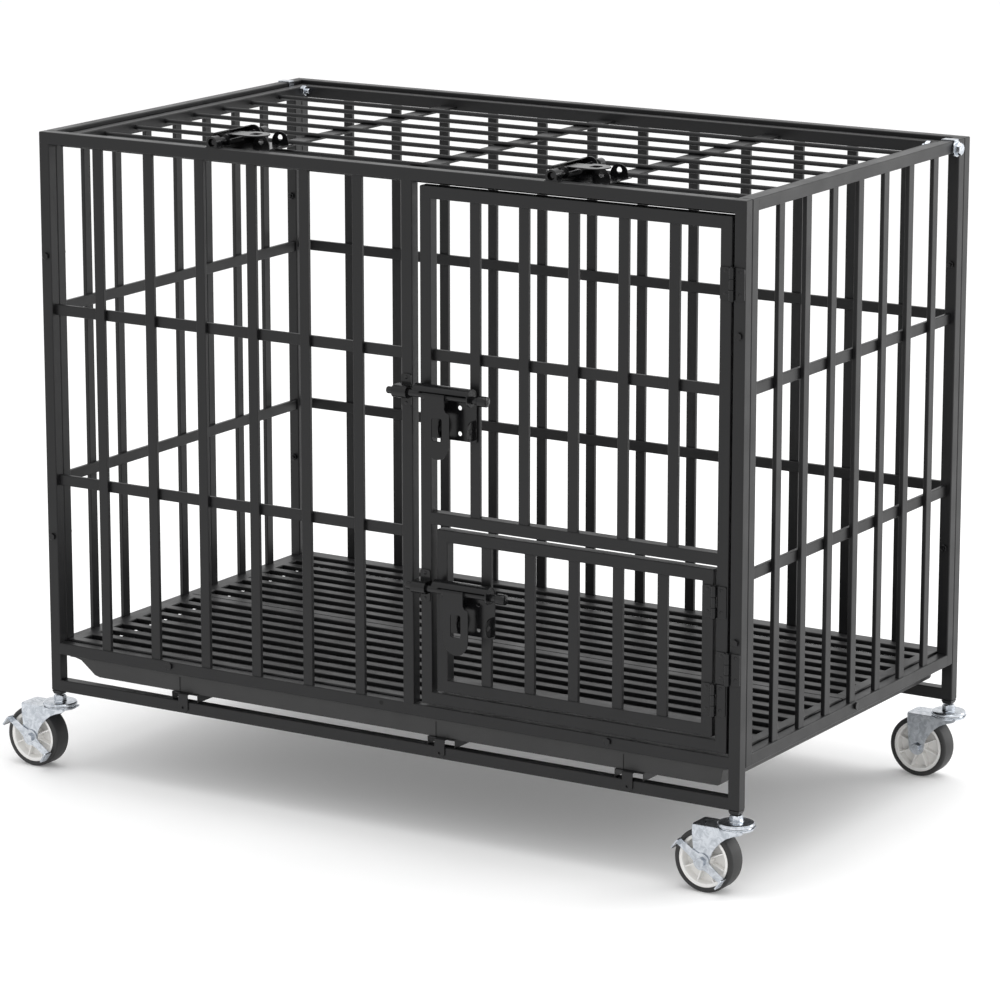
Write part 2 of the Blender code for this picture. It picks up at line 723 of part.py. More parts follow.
def caster_meshes():
    """The pieces of a caster about its stem axis on the floor, and those of its wheel about the axle."""
    race_bottom, race_top = 0.107, 0.1125
    stem = turned(
        [
            (0.0, STEM_TOP),
            (STEM_RADIUS, STEM_TOP),
            (STEM_RADIUS, race_top),
            (0.0240, race_top),
            (0.0275, race_top - 0.002),
            (0.0275, race_bottom),
            (0.0054, race_bottom),
            (0.0054, CROWN_BOTTOM - GAP),
            (0.0085, CROWN_BOTTOM - GAP),
            (0.0075, CROWN_BOTTOM - 0.0035),
            (0.0, CROWN_BOTTOM - 0.0035),
        ],
        12,
    )
    plug_bottom, plug_top = POST_BOTTOM - CAP_HEIGHT, POST_BOTTOM - GAP
    half = TUBE / 2
    nut = cylinders(((0, 0, race_top - WELD), (0, 0, plug_bottom + WELD)), radius=0.0101, sides=6)
    plug = cylinders(
        ((0, 0, plug_bottom), (0, 0, plug_top)),
        radius=(half - 0.0025) * math.sqrt(2),
        end_radius=half * math.sqrt(2),
        sides=4,
    )
    plug.transform(Matrix.Rotation(math.pi / 4, 4, "Z"))
    stem = joined(stem, nut, plug)
    edge = CHEEK_OUTER - WELD
    rim = [(-0.063, -edge), (-0.017, -edge), *arc((0, 0), 0.027, -120, 120, 11)]
    rim += [(-0.017, edge), (-0.063, edge)]
    crown = plate([rim], CROWN_TOP - CROWN_BOTTOM, level((CROWN_TOP + CROWN_BOTTOM) / 2))
    race = cylinders(((0, 0, CROWN_TOP - WELD), (0, 0, race_bottom - GAP)), radius=0.0235, sides=12)
    axle = (-TRAIL, WHEEL_RADIUS)
    cheek = [
        (-0.062, CROWN_TOP - WELD),
        (-0.060, axle[1] + 0.004),
        *arc(axle, 0.0125, 200, 340, 6),
        (-0.030, 0.062),
        (-0.019, 0.078),
        (-0.004, 0.090),
        (0.014, 0.097),
        (0.022, CROWN_TOP - WELD),
    ]
    hole = circle(axle, AXLE_BORE, 12)
    cheeks = []
    for sign in (-1, 1):
        middle = sign * (CHEEK_INNER + CHEEK_OUTER) / 2
        cheeks.append(plate([cheek, hole], CHEEK_OUTER - CHEEK_INNER, upright(middle)))
    bore = cylinders(((0, 0, 0.09), (0, 0, 0.12)), radius=0.0058, sides=12)
    fork = cut(joined(crown, race, *cheeks), bore)
    flat_radius = WHEEL_RADIUS / math.cos(math.pi / WHEEL_SIDES)
    half = WHEEL_HALF_WIDTH
    tyre = turned(
        [
            (flat_radius, half - 0.004),
            (flat_radius - 0.003, half),
            (HUB_RADIUS + GAP, half),
            (HUB_RADIUS + GAP, -half),
            (flat_radius - 0.003, -half),
            (flat_radius, -half + 0.004),
        ],
        WHEEL_SIDES,
        "Y",
        closed=True,
    )
    half_step = Matrix.Rotation(math.pi / WHEEL_SIDES, 4, "Y")
    tyre.transform(half_step)
    hub_half = half - 0.001
    hub = turned(
        [
            (HUB_RADIUS, hub_half),
            (HUB_RADIUS - 0.005, hub_half),
            (HUB_RADIUS - 0.007, 0.006),
            (0.012, 0.006),
            (0.011, CHEEK_INNER - GAP),
            (AXLE_BORE, CHEEK_INNER - GAP),
            (AXLE_BORE, -CHEEK_INNER + GAP),
            (0.011, -CHEEK_INNER + GAP),
            (0.012, -0.006),
            (HUB_RADIUS - 0.007, -0.006),
            (HUB_RADIUS - 0.005, -hub_half),
            (HUB_RADIUS, -hub_half),
        ],
        WHEEL_SIDES,
        "Y",
        closed=True,
    )
    hub.transform(half_step)
    return stem, fork, hub, tyre


def axle_mesh(front_face):
    """The axle bolt, with its head in front of the face at this y and its nut behind the far cheek."""
    back = CHEEK_OUTER + GAP
    shank = cylinders(((0, front_face - 0.002, 0), (0, back + 0.008, 0)), radius=AXLE_RADIUS, sides=12)
    ends = [((0, front_face, 0), (0, front_face - 0.0055, 0)), ((0, back, 0), (0, back + 0.0065, 0))]
    return joined(shank, cylinders(*ends, radius=0.0075, sides=6))


def pedal_mesh():
    """The two-ended brake pedal: a rocker plate about the axle, with a tread bent outwards at each end."""
    plate_front, plate_back = -0.0233, -CHEEK_OUTER - GAP
    reach, arm, boss = 0.044, 0.0065, 0.013
    angle = math.degrees(math.asin(arm / boss))
    end = arm - 0.001
    rim = [(reach, end), *arc((0, 0), boss, angle, 180 - angle, 7), (-reach, end)]
    rim += [(-reach, -end), *arc((0, 0), boss, 180 + angle, 360 - angle, 7), (reach, -end)]
    hole = circle((0, 0), AXLE_BORE, 12)
    body = plate([rim, hole], plate_back - plate_front, upright((plate_front + plate_back) / 2))
    treads = boxes(
        ((reach - WELD, -0.040, -0.009), (reach + 0.0015, plate_back - WELD, 0.009)),
        ((-reach - 0.0015, -0.040, -0.009), (-reach + WELD, plate_back - WELD, 0.009)),
    )
    mesh = joined(body, treads)
    mesh.transform(Matrix.Rotation(PEDAL_ANGLE, 4, "Y"))
    return mesh


def add_casters(crate):
    stem, fork, hub, tyre = caster_meshes()
    short_axle = axle_mesh(-CHEEK_OUTER - GAP)
    long_axle = axle_mesh(-0.0233 - GAP)
    pedal = pedal_mesh()
    for end, y_side in (("front", -1), ("back", 1)):
        for side, x_side in (("left", -1), ("right", 1)):
            name = f"caster_{end}_{side}"
            at = (x_side * STEM_X, y_side * STEM_Y, 0.0)
            hub_at = (at[0] - TRAIL, at[1], WHEEL_RADIUS)
            crate.add(f"{name}_stem", stem, ZINC, at, local=True)
            fork_part = crate.add(f"{name}_fork", fork, ZINC, at, local=True)
            axle = long_axle if y_side < 0 else short_axle
            crate.add(f"{name}_axle", axle, ZINC, hub_at, parent=fork_part, local=True)
            hub_part = crate.add(f"{name}_hub", hub, HUB_PLASTIC, hub_at, parent=fork_part, local=True)
            crate.add(f"{name}_tyre", tyre, RUBBER, hub_at, parent=hub_part, local=True)
            if y_side < 0:
                crate.add(f"{name}_brake_pedal", pedal, ZINC, hub_at, parent=fork_part, local=True)


def latch_base_mesh():
    """The bolt's base about the rod's axis: a plate rolled over the rod, a guide ring and two padlock eyes."""
    back = ROD_STAND_OFF - GAP
    front = back - SHEET
    centre = (0.0, ROOF_RISE)
    inner_radius = ROOF_RADIUS - SHEET
    section = [(back, BASE_BOTTOM), *arc(centre, ROOF_RADIUS, 0, 160, 9)]
    section += [*arc(centre, inner_radius, 160, 0, 9), (front, BASE_BOTTOM)]
    width = BASE_X[1] - BASE_X[0]
    roof = plate([section], width, sideways((BASE_X[0] + BASE_X[1]) / 2))
    ring_width = 0.0025
    ring = plate(
        [circle(centre, ROOF_RADIUS - WELD, 16), circle((0.0, 0.0), ROD_BORE, 12)],
        ring_width,
        sideways(BASE_X[1] - WELD - ring_width / 2),
    )
    tip = EYE_RADIUS - 0.0070
    eye = [(front + WELD, EYE_CENTRE_Z + EYE_RADIUS), (tip, EYE_CENTRE_Z + EYE_RADIUS)]
    eye += arc((tip, EYE_CENTRE_Z), EYE_RADIUS, 105, 255, 7)
    eye += [(tip, EYE_CENTRE_Z - EYE_RADIUS), (front + WELD, EYE_CENTRE_Z - EYE_RADIUS)]
    hole = circle((0.002, EYE_CENTRE_Z), 0.0045, 8)
    eyes = [plate([eye, hole], SHEET, sideways(x)) for x in EYE_X]
    plate_holes = [
        ((0.120, 0.0, z), (0.120, back + 0.002, z)) for z in (EYE_CENTRE_Z + 0.032, EYE_CENTRE_Z - 0.007)
    ]
    return cut(joined(roof, ring, *eyes), cylinders(*plate_holes, radius=0.0035, sides=8))


def rod_mesh(tip):
    """The rod along X about its axis, with two collars that hold the tongue and a knob at its free end."""
    collar, collar_radius = 0.0012, 0.0072
    first, last = CURL_X[0] - GAP, CURL_X[1] + GAP
    end, knob_end = 0.160, 0.176
    profile = [
        (0.0, knob_end),
        (KNOB_RADIUS - 0.002, knob_end),
        (KNOB_RADIUS, knob_end - 0.002),
        (KNOB_RADIUS, end),
        (ROD_RADIUS, end),
        (ROD_RADIUS, last + collar),
        (collar_radius, last + collar),
        (collar_radius, last),
        (ROD_RADIUS, last),
        (ROD_RADIUS, first),
        (collar_radius, first),
        (collar_radius, first - collar),
        (ROD_RADIUS, first - collar),
        (ROD_RADIUS, tip + 0.002),
        (ROD_RADIUS - 0.002, tip),
        (0.0, tip),
    ]
    return turned(profile, 12, "X")


def tongue_mesh(length):
    """The hasp tongue about the rod's axis: a curl around the rod and a plate with a slot, hanging down."""
    width = TONGUE_X[1] - TONGUE_X[0]
    middle = (TONGUE_X[0] + TONGUE_X[1]) / 2
    round_length = 0.024
    shoulder = -0.024
    low = -length + round_length
    half_circle = arc((middle, low), width / 2, 360, 180, 11)
    rounding = [(x, low + (z - low) * round_length / (width / 2)) for x, z in half_circle]
    rim = [
        (TONGUE_X[0], 0.0),
        (CURL_X[1], 0.0),
        (CURL_X[1], shoulder + 0.007),
        (TONGUE_X[1], shoulder),
        *rounding,
    ]
    slot_half = 0.009
    slot_top, slot_bottom = -0.032, max(EYE_CENTRE_Z - 0.018, -length + 0.014)
    slot = [
        (middle - slot_half, slot_bottom + 0.006),
        (middle - slot_half + 0.006, slot_bottom),
        (middle + slot_half - 0.002, slot_bottom),
        (middle + slot_half, slot_bottom + 0.002),
        (middle + slot_half, slot_top - 0.002),
        (middle + slot_half - 0.002, slot_top),
        (middle - slot_half + 0.006, slot_top),
        (middle - slot_half, slot_top - 0.006),
    ]
    flat = plate([rim, slot], SHEET, upright(-CURL_RADIUS + SHEET / 2))
    curl = turned(
        [
            (CURL_RADIUS, CURL_X[1]),
            (CURL_RADIUS, CURL_X[0]),
            (ROD_BORE, CURL_X[0]),
            (ROD_BORE, CURL_X[1]),
        ],
        12,
        "X",
        closed=True,
    )
    return joined(flat, curl)


def keeper_mesh(x, plate_x, plate_half, back):
    """A keeper about the rod's axis: a loop that the rod's tip goes into, on a plate whose back is at y = back."""
    half, bore_radius = 0.0095, 0.0063
    root = back - SHEET / 2
    loop = [(root, half), *arc((0.0, 0.0), half, 90, 270, 7), (root, -half)]
    body = plate([loop], x[1] - x[0], sideways((x[0] + x[1]) / 2))
    flat = boxes(((plate_x[0], back - SHEET, -plate_half), (plate_x[1], back, plate_half)))
    bore = cylinders(((x[0] - 0.002, 0, 0), (x[1] + 0.002, 0, 0)), radius=bore_radius, sides=12)
    return cut(joined(flat, body), bore)


def lid_keeper(x):
    """A lid bolt's keeper, welded on the front top rail."""
    rail = ROD_STAND_OFF - (TOP - LID_TOP)
    mesh = keeper_mesh((0.0315, 0.0465), (0.0305, 0.0475), 0.013, rail + WELD)
    return moved(mesh, Matrix.Translation((x, LID_LATCH_Y, LID_TOP + ROD_STAND_OFF)) @ ON_LID)


def add_latches(crate, main, small, lid):
    """Four slide bolts of one pattern: two on the doors, along X, and two on the lid, along Y."""
    base = latch_base_mesh()
    door_rod, lid_rod = rod_mesh(0.0), rod_mesh(LID_ROD_TIP)
    door_tongue, lid_tongue = tongue_mesh(DOOR_TONGUE_LENGTH), tongue_mesh(LID_TONGUE_LENGTH)
    door_keeper = keeper_mesh((0.012, 0.037), (0.0172, 0.0345), 0.025, ROD_STAND_OFF - GAP)
    door_y = FRONT - ROD_STAND_OFF
    lid_z = LID_TOP + ROD_STAND_OFF
    places = [
        ("main_latch", (MAIN_LATCH[0], door_y, MAIN_LATCH[1]), None, main, None, False),
        ("small_latch", (SMALL_LATCH[0], door_y, SMALL_LATCH[1]), None, small, main, False),
        ("lid_latch_left", (LID_LATCH_X[0], LID_LATCH_Y, lid_z), ON_LID, lid, None, True),
        ("lid_latch_right", (LID_LATCH_X[1], LID_LATCH_Y, lid_z), ON_LID, lid, None, True),
    ]
    for name, at, rotation, carrier, keeper_carrier, is_lid in places:
        rod_shape = lid_rod if is_lid else door_rod
        tongue_shape = lid_tongue if is_lid else door_tongue
        crate.add(f"{name}_base", base, BLACK_STEEL, at, rotation, carrier, True)
        rod = crate.add(f"{name}_rod", rod_shape, BLACK_STEEL, at, rotation, carrier, True)
        crate.add(f"{name}_tongue", tongue_shape, BLACK_STEEL, at, rotation, rod, True)
        if not is_lid:
            crate.add(f"{name}_keeper", door_keeper, BLACK_STEEL, at, rotation, keeper_carrier, True)


def main():
    for old in list(bpy.data.objects):
        bpy.data.objects.remove(old)
    crate = Crate()
    add_frame(crate)
    main_door, small_door = add_doors(crate)
    add_hinges(crate, main_door, small_door)
    lid = add_lid(crate)
    add_lid_pivots(crate)
    add_floor(crate)
    add_tray(crate)
    add_casters(crate)
    add_latches(crate, main_door, small_door, lid)


main()
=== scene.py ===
"""The dog crate's looks: bevelled tube and flat bar, turned wheels and formed hardware.

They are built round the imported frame, on a pale floor in soft studio light."""
import json
import math

import bmesh
import bpy
from mathutils import Matrix, Vector

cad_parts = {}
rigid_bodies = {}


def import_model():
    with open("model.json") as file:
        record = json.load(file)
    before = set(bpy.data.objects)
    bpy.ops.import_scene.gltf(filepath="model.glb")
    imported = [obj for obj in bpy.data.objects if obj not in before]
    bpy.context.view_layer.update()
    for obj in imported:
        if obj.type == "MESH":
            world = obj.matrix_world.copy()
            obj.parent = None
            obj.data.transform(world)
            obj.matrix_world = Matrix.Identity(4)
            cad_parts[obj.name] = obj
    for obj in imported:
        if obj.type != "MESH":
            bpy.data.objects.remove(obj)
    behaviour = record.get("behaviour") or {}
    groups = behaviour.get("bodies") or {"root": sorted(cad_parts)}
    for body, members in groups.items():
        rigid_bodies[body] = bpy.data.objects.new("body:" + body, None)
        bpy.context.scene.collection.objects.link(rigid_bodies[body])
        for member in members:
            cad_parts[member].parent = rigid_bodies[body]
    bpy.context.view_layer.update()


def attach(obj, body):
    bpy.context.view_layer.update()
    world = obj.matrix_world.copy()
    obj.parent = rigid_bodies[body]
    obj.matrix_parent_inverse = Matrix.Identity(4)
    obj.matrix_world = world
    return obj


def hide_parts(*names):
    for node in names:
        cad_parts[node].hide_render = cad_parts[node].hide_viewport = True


# The cage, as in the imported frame
HALF_LENGTH, HALF_DEPTH = 0.625, 0.3575
POST_BOTTOM, TUBE = 0.130, 0.019
TOP = POST_BOTTOM + 0.898
FRONT = -HALF_DEPTH
INNER_X, INNER_Y = HALF_LENGTH - TUBE, HALF_DEPTH - TUBE
BAR_WIDTH, BAR_THICKNESS, BAR_SET_BACK = 0.017, 0.007, 0.002
GAP, SHEET = 0.0003, 0.0016
# How far a piece runs into the one that it is welded to: a tube's end, a bar's end, and bars that cross
SUNK, BAR_SUNK, LAPPED = 0.0025, 0.003, 0.0005
LID_ROD_RADIUS, LID_CROSS_WIDTH, LID_CROSS_THICKNESS = 0.0035, 0.030, 0.0035
LOWER_RAIL, BOTTOM_RAIL, TOP_RAIL = POST_BOTTOM, POST_BOTTOM + 0.061, TOP - TUBE
MID_BARS = (POST_BOTTOM + 0.336, POST_BOTTOM + 0.609)
JAMB_X = 0.044
LID_TOP = TOP - 0.006
LID_HALF_X, LID_HALF_Y = INNER_X - 0.004, INNER_Y - 0.0045
PIVOT_Y, PIVOT_Z = 0.306, TOP - 0.0125
GRATE_BOTTOM = POST_BOTTOM + 0.064
RUNNER_X = (-0.366, 0.110, 0.438)
TRAY_BOTTOM = LOWER_RAIL + TUBE + GAP + 0.0125 + GAP
TRAY_TOP = BOTTOM_RAIL - 0.001
TRAY_FRONT, TRAY_BACK = -0.350, 0.334
MAIN_DOOR_X, MAIN_DOOR_Z = (0.077, 0.6025), (POST_BOTTOM + 0.084, POST_BOTTOM + 0.874)
MAIN_DIVIDER, MAIN_MID_BAR = POST_BOTTOM + 0.363, POST_BOTTOM + 0.611
SMALL_DOOR_X, SMALL_DOOR_Z = (0.105, 0.5786), (POST_BOTTOM + 0.106, POST_BOTTOM + 0.357)
HINGE_STAND_OFF, HINGE_HEIGHT = 0.0044, 0.048
MAIN_HINGE_X, MAIN_HINGE_Z = 0.6045, (POST_BOTTOM + 0.1885, POST_BOTTOM + 0.7535)
SMALL_HINGE_X, SMALL_HINGE_Z = 0.58105, (POST_BOTTOM + 0.1395, POST_BOTTOM + 0.286)
STEM_X, STEM_Y = HALF_LENGTH - TUBE / 2, HALF_DEPTH - TUBE / 2
POST_BOLT_Z = (POST_BOTTOM + 0.253, POST_BOTTOM + 0.703)
FLOOR_BOLT_X, FLOOR_BOLT_Z, SIDE_SCREW_Y = (-0.392, 0.4035), POST_BOTTOM + 0.073, 0.006
SPARE_HOLE_X, SPARE_HOLE_RADIUS = 0.0045, 0.0035
BOLT_HEX, BOLT_HEAD_HEIGHT, BOLT_NUT_HEIGHT = 0.0058, 0.0040, 0.0050

# Rounded edges: how wide, by kind of stock
TUBE_EDGE, BAR_EDGE, STRIP_EDGE, SMALL_EDGE = 0.0019, 0.0012, 0.0006, 0.0003
SHARP_ANGLE = math.radians(32)
MERGE = 0.0000001

# Casters
TRAIL, WHEEL_RADIUS, WHEEL_HALF_WIDTH, HUB_RADIUS = 0.045, 0.049, 0.017, 0.041
AXLE_BORE = 0.0043
CHEEK_INNER, CHEEK_OUTER = 0.0185, 0.021
CROWN_BOTTOM, CROWN_TOP, RACE_TOP, STEM_BORE = 0.1015, 0.104, 0.1066, 0.0058
SEAL_BOTTOM, DISC_BOTTOM, DISC_TOP = 0.1068, 0.107, 0.1125
PEDAL_FRONT = -0.0233
PEDAL_ANGLE = math.radians(35)

# Slide bolts, about the rod's axis
ROD_STAND_OFF, ROD_RADIUS, ROD_BORE, KNOB_RADIUS = 0.014, 0.0055, 0.0059, 0.008
CURL_RADIUS, ROOF_RADIUS, ROOF_RISE = 0.009, 0.0137, 0.0025
BASE_X, BASE_BOTTOM = (0.052, 0.149), -0.067
CURL_X, TONGUE_X, EYE_X = (0.067, 0.1053), (0.0706, 0.1144), (0.0925, 0.1437)
EYE_CENTRE_Z, EYE_RADIUS = -0.049, 0.015
LID_ROD_TIP = 0.035
ON_LID = Matrix(((0, 0, -1, 0), (1, 0, 0, 0), (0, -1, 0, 0), (0, 0, 0, 1)))
LATCHES = {
    "main_latch": (Vector((0.028, FRONT - ROD_STAND_OFF, POST_BOTTOM + 0.564)), "main_door", "cage"),
    "small_latch": (Vector((0.060, FRONT - ROD_STAND_OFF, POST_BOTTOM + 0.268)), "small_door", "main_door"),
    "lid_latch_left": (Vector((-0.298, -0.387, LID_TOP + ROD_STAND_OFF)), "lid", "cage"),
    "lid_latch_right": (Vector((0.302, -0.387, LID_TOP + ROD_STAND_OFF)), "lid", "cage"),
}

# The floor: its half size, and how much it glows where it is seen
FLOOR_HALF, FLOOR_LIFT = 30, 0.11

# The camera, fitted to the photo
CAMERA_PLACE = (3.6199, -5.8447, 2.0638)
CAMERA_AZIMUTH, CAMERA_ELEVATION, CAMERA_LENS = 31.807, 13.233, 161.56


def new_material(
    name, colour, metallic, roughness, grain=900.0, bump=0.00004, uneven=0.06, specular=0.5, darker=None
):
    """A Principled material with a fine grain in its surface, and a slow unevenness in its roughness.

    Where a darker colour is given, the surface drifts between the two."""
    material = bpy.data.materials.new(name)
    material.use_nodes = True
    nodes, links = material.node_tree.nodes, material.node_tree.links
    shader = nodes["Principled BSDF"]
    shader.inputs["Base Color"].default_value = (*colour, 1.0)
    shader.inputs["Metallic"].default_value = metallic
    shader.inputs["Specular IOR Level"].default_value = specular
    place = nodes.new("ShaderNodeTexCoord")
    fine = nodes.new("ShaderNodeTexNoise")
    fine.inputs["Scale"].default_value = grain
    fine.inputs["Detail"].default_value = 3.0
    links.new(place.outputs["Object"], fine.inputs["Vector"])
    relief = nodes.new("ShaderNodeBump")
    relief.inputs["Strength"].default_value = 1.0
    relief.inputs["Distance"].default_value = bump
    links.new(fine.outputs["Fac"], relief.inputs["Height"])
    links.new(relief.outputs["Normal"], shader.inputs["Normal"])
    slow = nodes.new("ShaderNodeTexNoise")
    slow.inputs["Scale"].default_value = 22.0
    slow.inputs["Detail"].default_value = 4.0
    links.new(place.outputs["Object"], slow.inputs["Vector"])
    spread = nodes.new("ShaderNodeMapRange")
    spread.inputs["From Min"].default_value = 0.3
    spread.inputs["From Max"].default_value = 0.7
    spread.inputs["To Min"].default_value = roughness - uneven
    spread.inputs["To Max"].default_value = roughness + uneven
    links.new(slow.outputs["Fac"], spread.inputs["Value"])
    links.new(spread.outputs["Result"], shader.inputs["Roughness"])
    if darker:
        drift = nodes.new("ShaderNodeTexNoise")
        drift.inputs["Scale"].default_value = 90.0
        drift.inputs["Detail"].default_value = 2.0
        drift.inputs["Distortion"].default_value = 1.2
        links.new(place.outputs["Object"], drift.inputs["Vector"])
        ramp = nodes.new("ShaderNodeValToRGB")
        ramp.color_ramp.elements[0].position, ramp.color_ramp.elements[1].position = 0.38, 0.60
        ramp.color_ramp.elements[0].color = (*darker, 1.0)
        ramp.color_ramp.elements[1].color = (*colour, 1.0)
        links.new(drift.outputs["Fac"], ramp.inputs["Fac"])
        links.new(ramp.outputs["Color"], shader.inputs["Base Color"])
    return material


def mesh_from(bm, name="shape"):
    bmesh.ops.recalc_face_normals(bm, faces=bm.faces[:])
    mesh = bpy.data.meshes.new(name)
    bm.to_mesh(mesh)
    bm.free()
    return mesh


def boxes(*corner_pairs):
    bm = bmesh.new()
    for low, high in corner_pairs:
        low, high = Vector(low), Vector(high)
        place = Matrix.Translation((low + high) / 2) @ Matrix.Diagonal((*(high - low), 1.0))
        bmesh.ops.create_cube(bm, size=1.0, matrix=place)
    return mesh_from(bm)


def cylinders(*ends, radius, sides=32, end_radius=None):
    bm = bmesh.new()
    for start, end in ends:
        start, end = Vector(start), Vector(end)
        turn = (end - start).to_track_quat("Z", "Y").to_matrix().to_4x4()
        bmesh.ops.create_cone(
            bm,
            cap_ends=True,
            segments=sides,
            radius1=radius,
            radius2=radius if end_radius is None else end_radius,
            depth=(end - start).length,
            matrix=Matrix.Translation((start + end) / 2) @ turn,
        )
    return mesh_from(bm)


def together(*meshes):
    bm = bmesh.new()
    for mesh in meshes:
        bm.from_mesh(mesh)
    return mesh_from(bm)


def moved(mesh, place):
    bm = bmesh.new()
    bm.from_mesh(mesh)
    bm.transform(place)
    return mesh_from(bm)


def baked(mesh, *changes):
    scratch = bpy.data.objects.new("scratch", mesh)
    bpy.context.scene.collection.objects.link(scratch)
    helpers = [change(scratch) for change in changes]
    graph = bpy.context.evaluated_depsgraph_get()
    result = bpy.data.meshes.new_from_object(scratch.evaluated_get(graph))
    for helper in filter(None, helpers):
        bpy.data.objects.remove(helper)
    bpy.data.objects.remove(scratch)
    return result


def boolean(operation, mesh):
    def change(scratch):
        tool = bpy.data.objects.new("tool", mesh)
        bpy.context.scene.collection.objects.link(tool)
        modifier = scratch.modifiers.new(operation, "BOOLEAN")
        modifier.operation = operation
        modifier.solver = "EXACT"
        modifier.object = tool
        return tool

    return change


def joined(mesh, *others):
    return baked(mesh, *[boolean("UNION", other) for other in others])


def cut(mesh, *others):
    return baked(mesh, *[boolean("DIFFERENCE", other) for other in others])


def turned(profile, sides, axis="Z", closed=False):
    """A profile of (radius, height) points, turned about Z and laid along the axis."""
    bm = bmesh.new()
    points = [bm.verts.new((radius, 0.0, height)) for radius, height in profile]
    for first, second in zip(points, points[1:]):
        bm.edges.new((first, second))
    if closed:
        bm.edges.new((points[-1], points[0]))
    mesh = bpy.data.meshes.new("profile")
    bm.to_mesh(mesh)
    bm.free()

    def screw(scratch):
        modifier = scratch.modifiers.new("Turn", "SCREW")
        modifier.steps = modifier.render_steps = sides
        modifier.use_merge_vertices = True
        modifier.merge_threshold = MERGE

    mesh = baked(mesh, screw)
    lay = {
        "X": Matrix.Rotation(math.pi / 2, 4, "Y"),
        "Y": Matrix.Rotation(-math.pi / 2, 4, "X"),
        "Z": Matrix.Identity(4),
    }
    bm = bmesh.new()
    bm.from_mesh(mesh)
    bmesh.ops.remove_doubles(bm, verts=bm.verts[:], dist=MERGE)
    bm.transform(lay[axis])
    return mesh_from(bm)


def plate(outlines, thickness, place):
    """A flat plate: the first outline is its rim and the rest are holes. place sets its middle plane."""
    curve = bpy.data.curves.new("outline", "CURVE")
    curve.dimensions = "2D"
    curve.fill_mode = "BOTH"
    curve.extrude = thickness / 2
    for outline in outlines:
        spline = curve.splines.new("POLY")
        spline.points.add(len(outline) - 1)
        for point, (x, y) in zip(spline.points, outline):
            point.co = (x, y, 0.0, 1.0)
        spline.use_cyclic_u = True
    guide = bpy.data.objects.new("outline", curve)
    mesh = bpy.data.meshes.new_from_object(guide)
    bpy.data.objects.remove(guide)
    bm = bmesh.new()
    bm.from_mesh(mesh)
    bmesh.ops.remove_doubles(bm, verts=bm.verts[:], dist=MERGE)
    bm.transform(place)
    return mesh_from(bm)


def upright(y):
    turn = Matrix(((1, 0, 0, 0), (0, 0, -1, 0), (0, 1, 0, 0), (0, 0, 0, 1)))
    return Matrix.Translation((0.0, y, 0.0)) @ turn


def sideways(x):
    turn = Matrix(((0, 0, 1, 0), (1, 0, 0, 0), (0, 1, 0, 0), (0, 0, 0, 1)))
    return Matrix.Translation((x, 0.0, 0.0)) @ turn


def level(z):
    return Matrix.Translation((0.0, 0.0, z))


def arc(centre, radius, start, end, count):
    steps = [math.radians(start + (end - start) * i / (count - 1)) for i in range(count)]
    return [(centre[0] + radius * math.cos(a), centre[1] + radius * math.sin(a)) for a in steps]


def circle(centre, radius, count=24):
    return arc(centre, radius, 0, 360 - 360 / count, count)


def rounded(low, high, radius, count=5):
    """A rectangle's outline with round corners."""
    (x0, y0), (x1, y1) = low, high
    points = []
    for cx, cy, start in (
        (x1 - radius, y1 - radius, 0),
        (x0 + radius, y1 - radius, 90),
        (x0 + radius, y0 + radius, 180),
        (x1 - radius, y0 + radius, 270),
    ):
        points += arc((cx, cy), radius, start, start + 90, count)
    return points


def evenly(low, high, count, width):
    gap = (high - low - count * width) / (count + 1)
    return [low + gap + i * (gap + width) for i in range(count)]


def show(name, mesh, material, body, slot, replaced=(), bevel=0.0, segments=2, every_edge=False):
    """Adds a piece that rides on a CAD body. Its edges are rounded, and its flat faces stay flat."""
    mesh.materials.clear()
    mesh.materials.append(material)
    piece = bpy.data.objects.new(name, mesh)
    bpy.context.scene.collection.objects.link(piece)
    for polygon in mesh.polygons:
        polygon.use_smooth = True
    mesh.set_sharp_from_angle(angle=SHARP_ANGLE)
    if bevel:
        modifier = piece.modifiers.new("Rounded edges", "BEVEL")
        modifier.width = bevel
        modifier.segments = segments
        modifier.limit_method = "NONE" if every_edge else "ANGLE"
        modifier.angle_limit = SHARP_ANGLE
        modifier.harden_normals = True
    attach(piece, body)
    if replaced:
        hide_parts(*replaced)


def dome(centre, direction, radius, height):
    """A low rivet head."""
    direction = Vector(direction).normalized()
    angles = [math.radians(degrees) for degrees in (70, 50, 30, 12, 0)]
    profile = [(0.0, height), *[(radius * math.cos(a), height * math.sin(a)) for a in angles]]
    head = turned([*profile, (0.0, 0.0)], 20)
    turn = direction.to_track_quat("Z", "Y").to_matrix().to_4x4()
    return moved(head, Matrix.Translation(centre) @ turn)


def hexagon(centre, direction, radius, height):
    """A nut or bolt head with a chamfered crown."""
    direction = Vector(direction).normalized()
    body = cylinders(((0, 0, 0), (0, 0, height)), radius=radius, sides=6)
    outside = radius * 1.02
    crown = turned(
        [(0.0, height), (radius * 0.80, height), (outside, height * 0.80), (outside, 0.0), (0.0, 0.0)], 48
    )
    body = baked(body, boolean("INTERSECT", crown))
    turn = direction.to_track_quat("Z", "Y").to_matrix().to_4x4()
    return moved(body, Matrix.Translation(centre) @ turn)


def frame_pair(name, tubes, bars, node, body, bar_nodes=()):
    """A welded panel as its tubes, which stand for the CAD node, and its flat bars."""
    coat = M["powder_coat"]
    show(name + "_tubes", boxes(*tubes), coat, body, "powder_coat", (node,), TUBE_EDGE, 3, True)
    show(name + "_bars", boxes(*bars), coat, body, "powder_coat", bar_nodes, BAR_EDGE, 3, True)


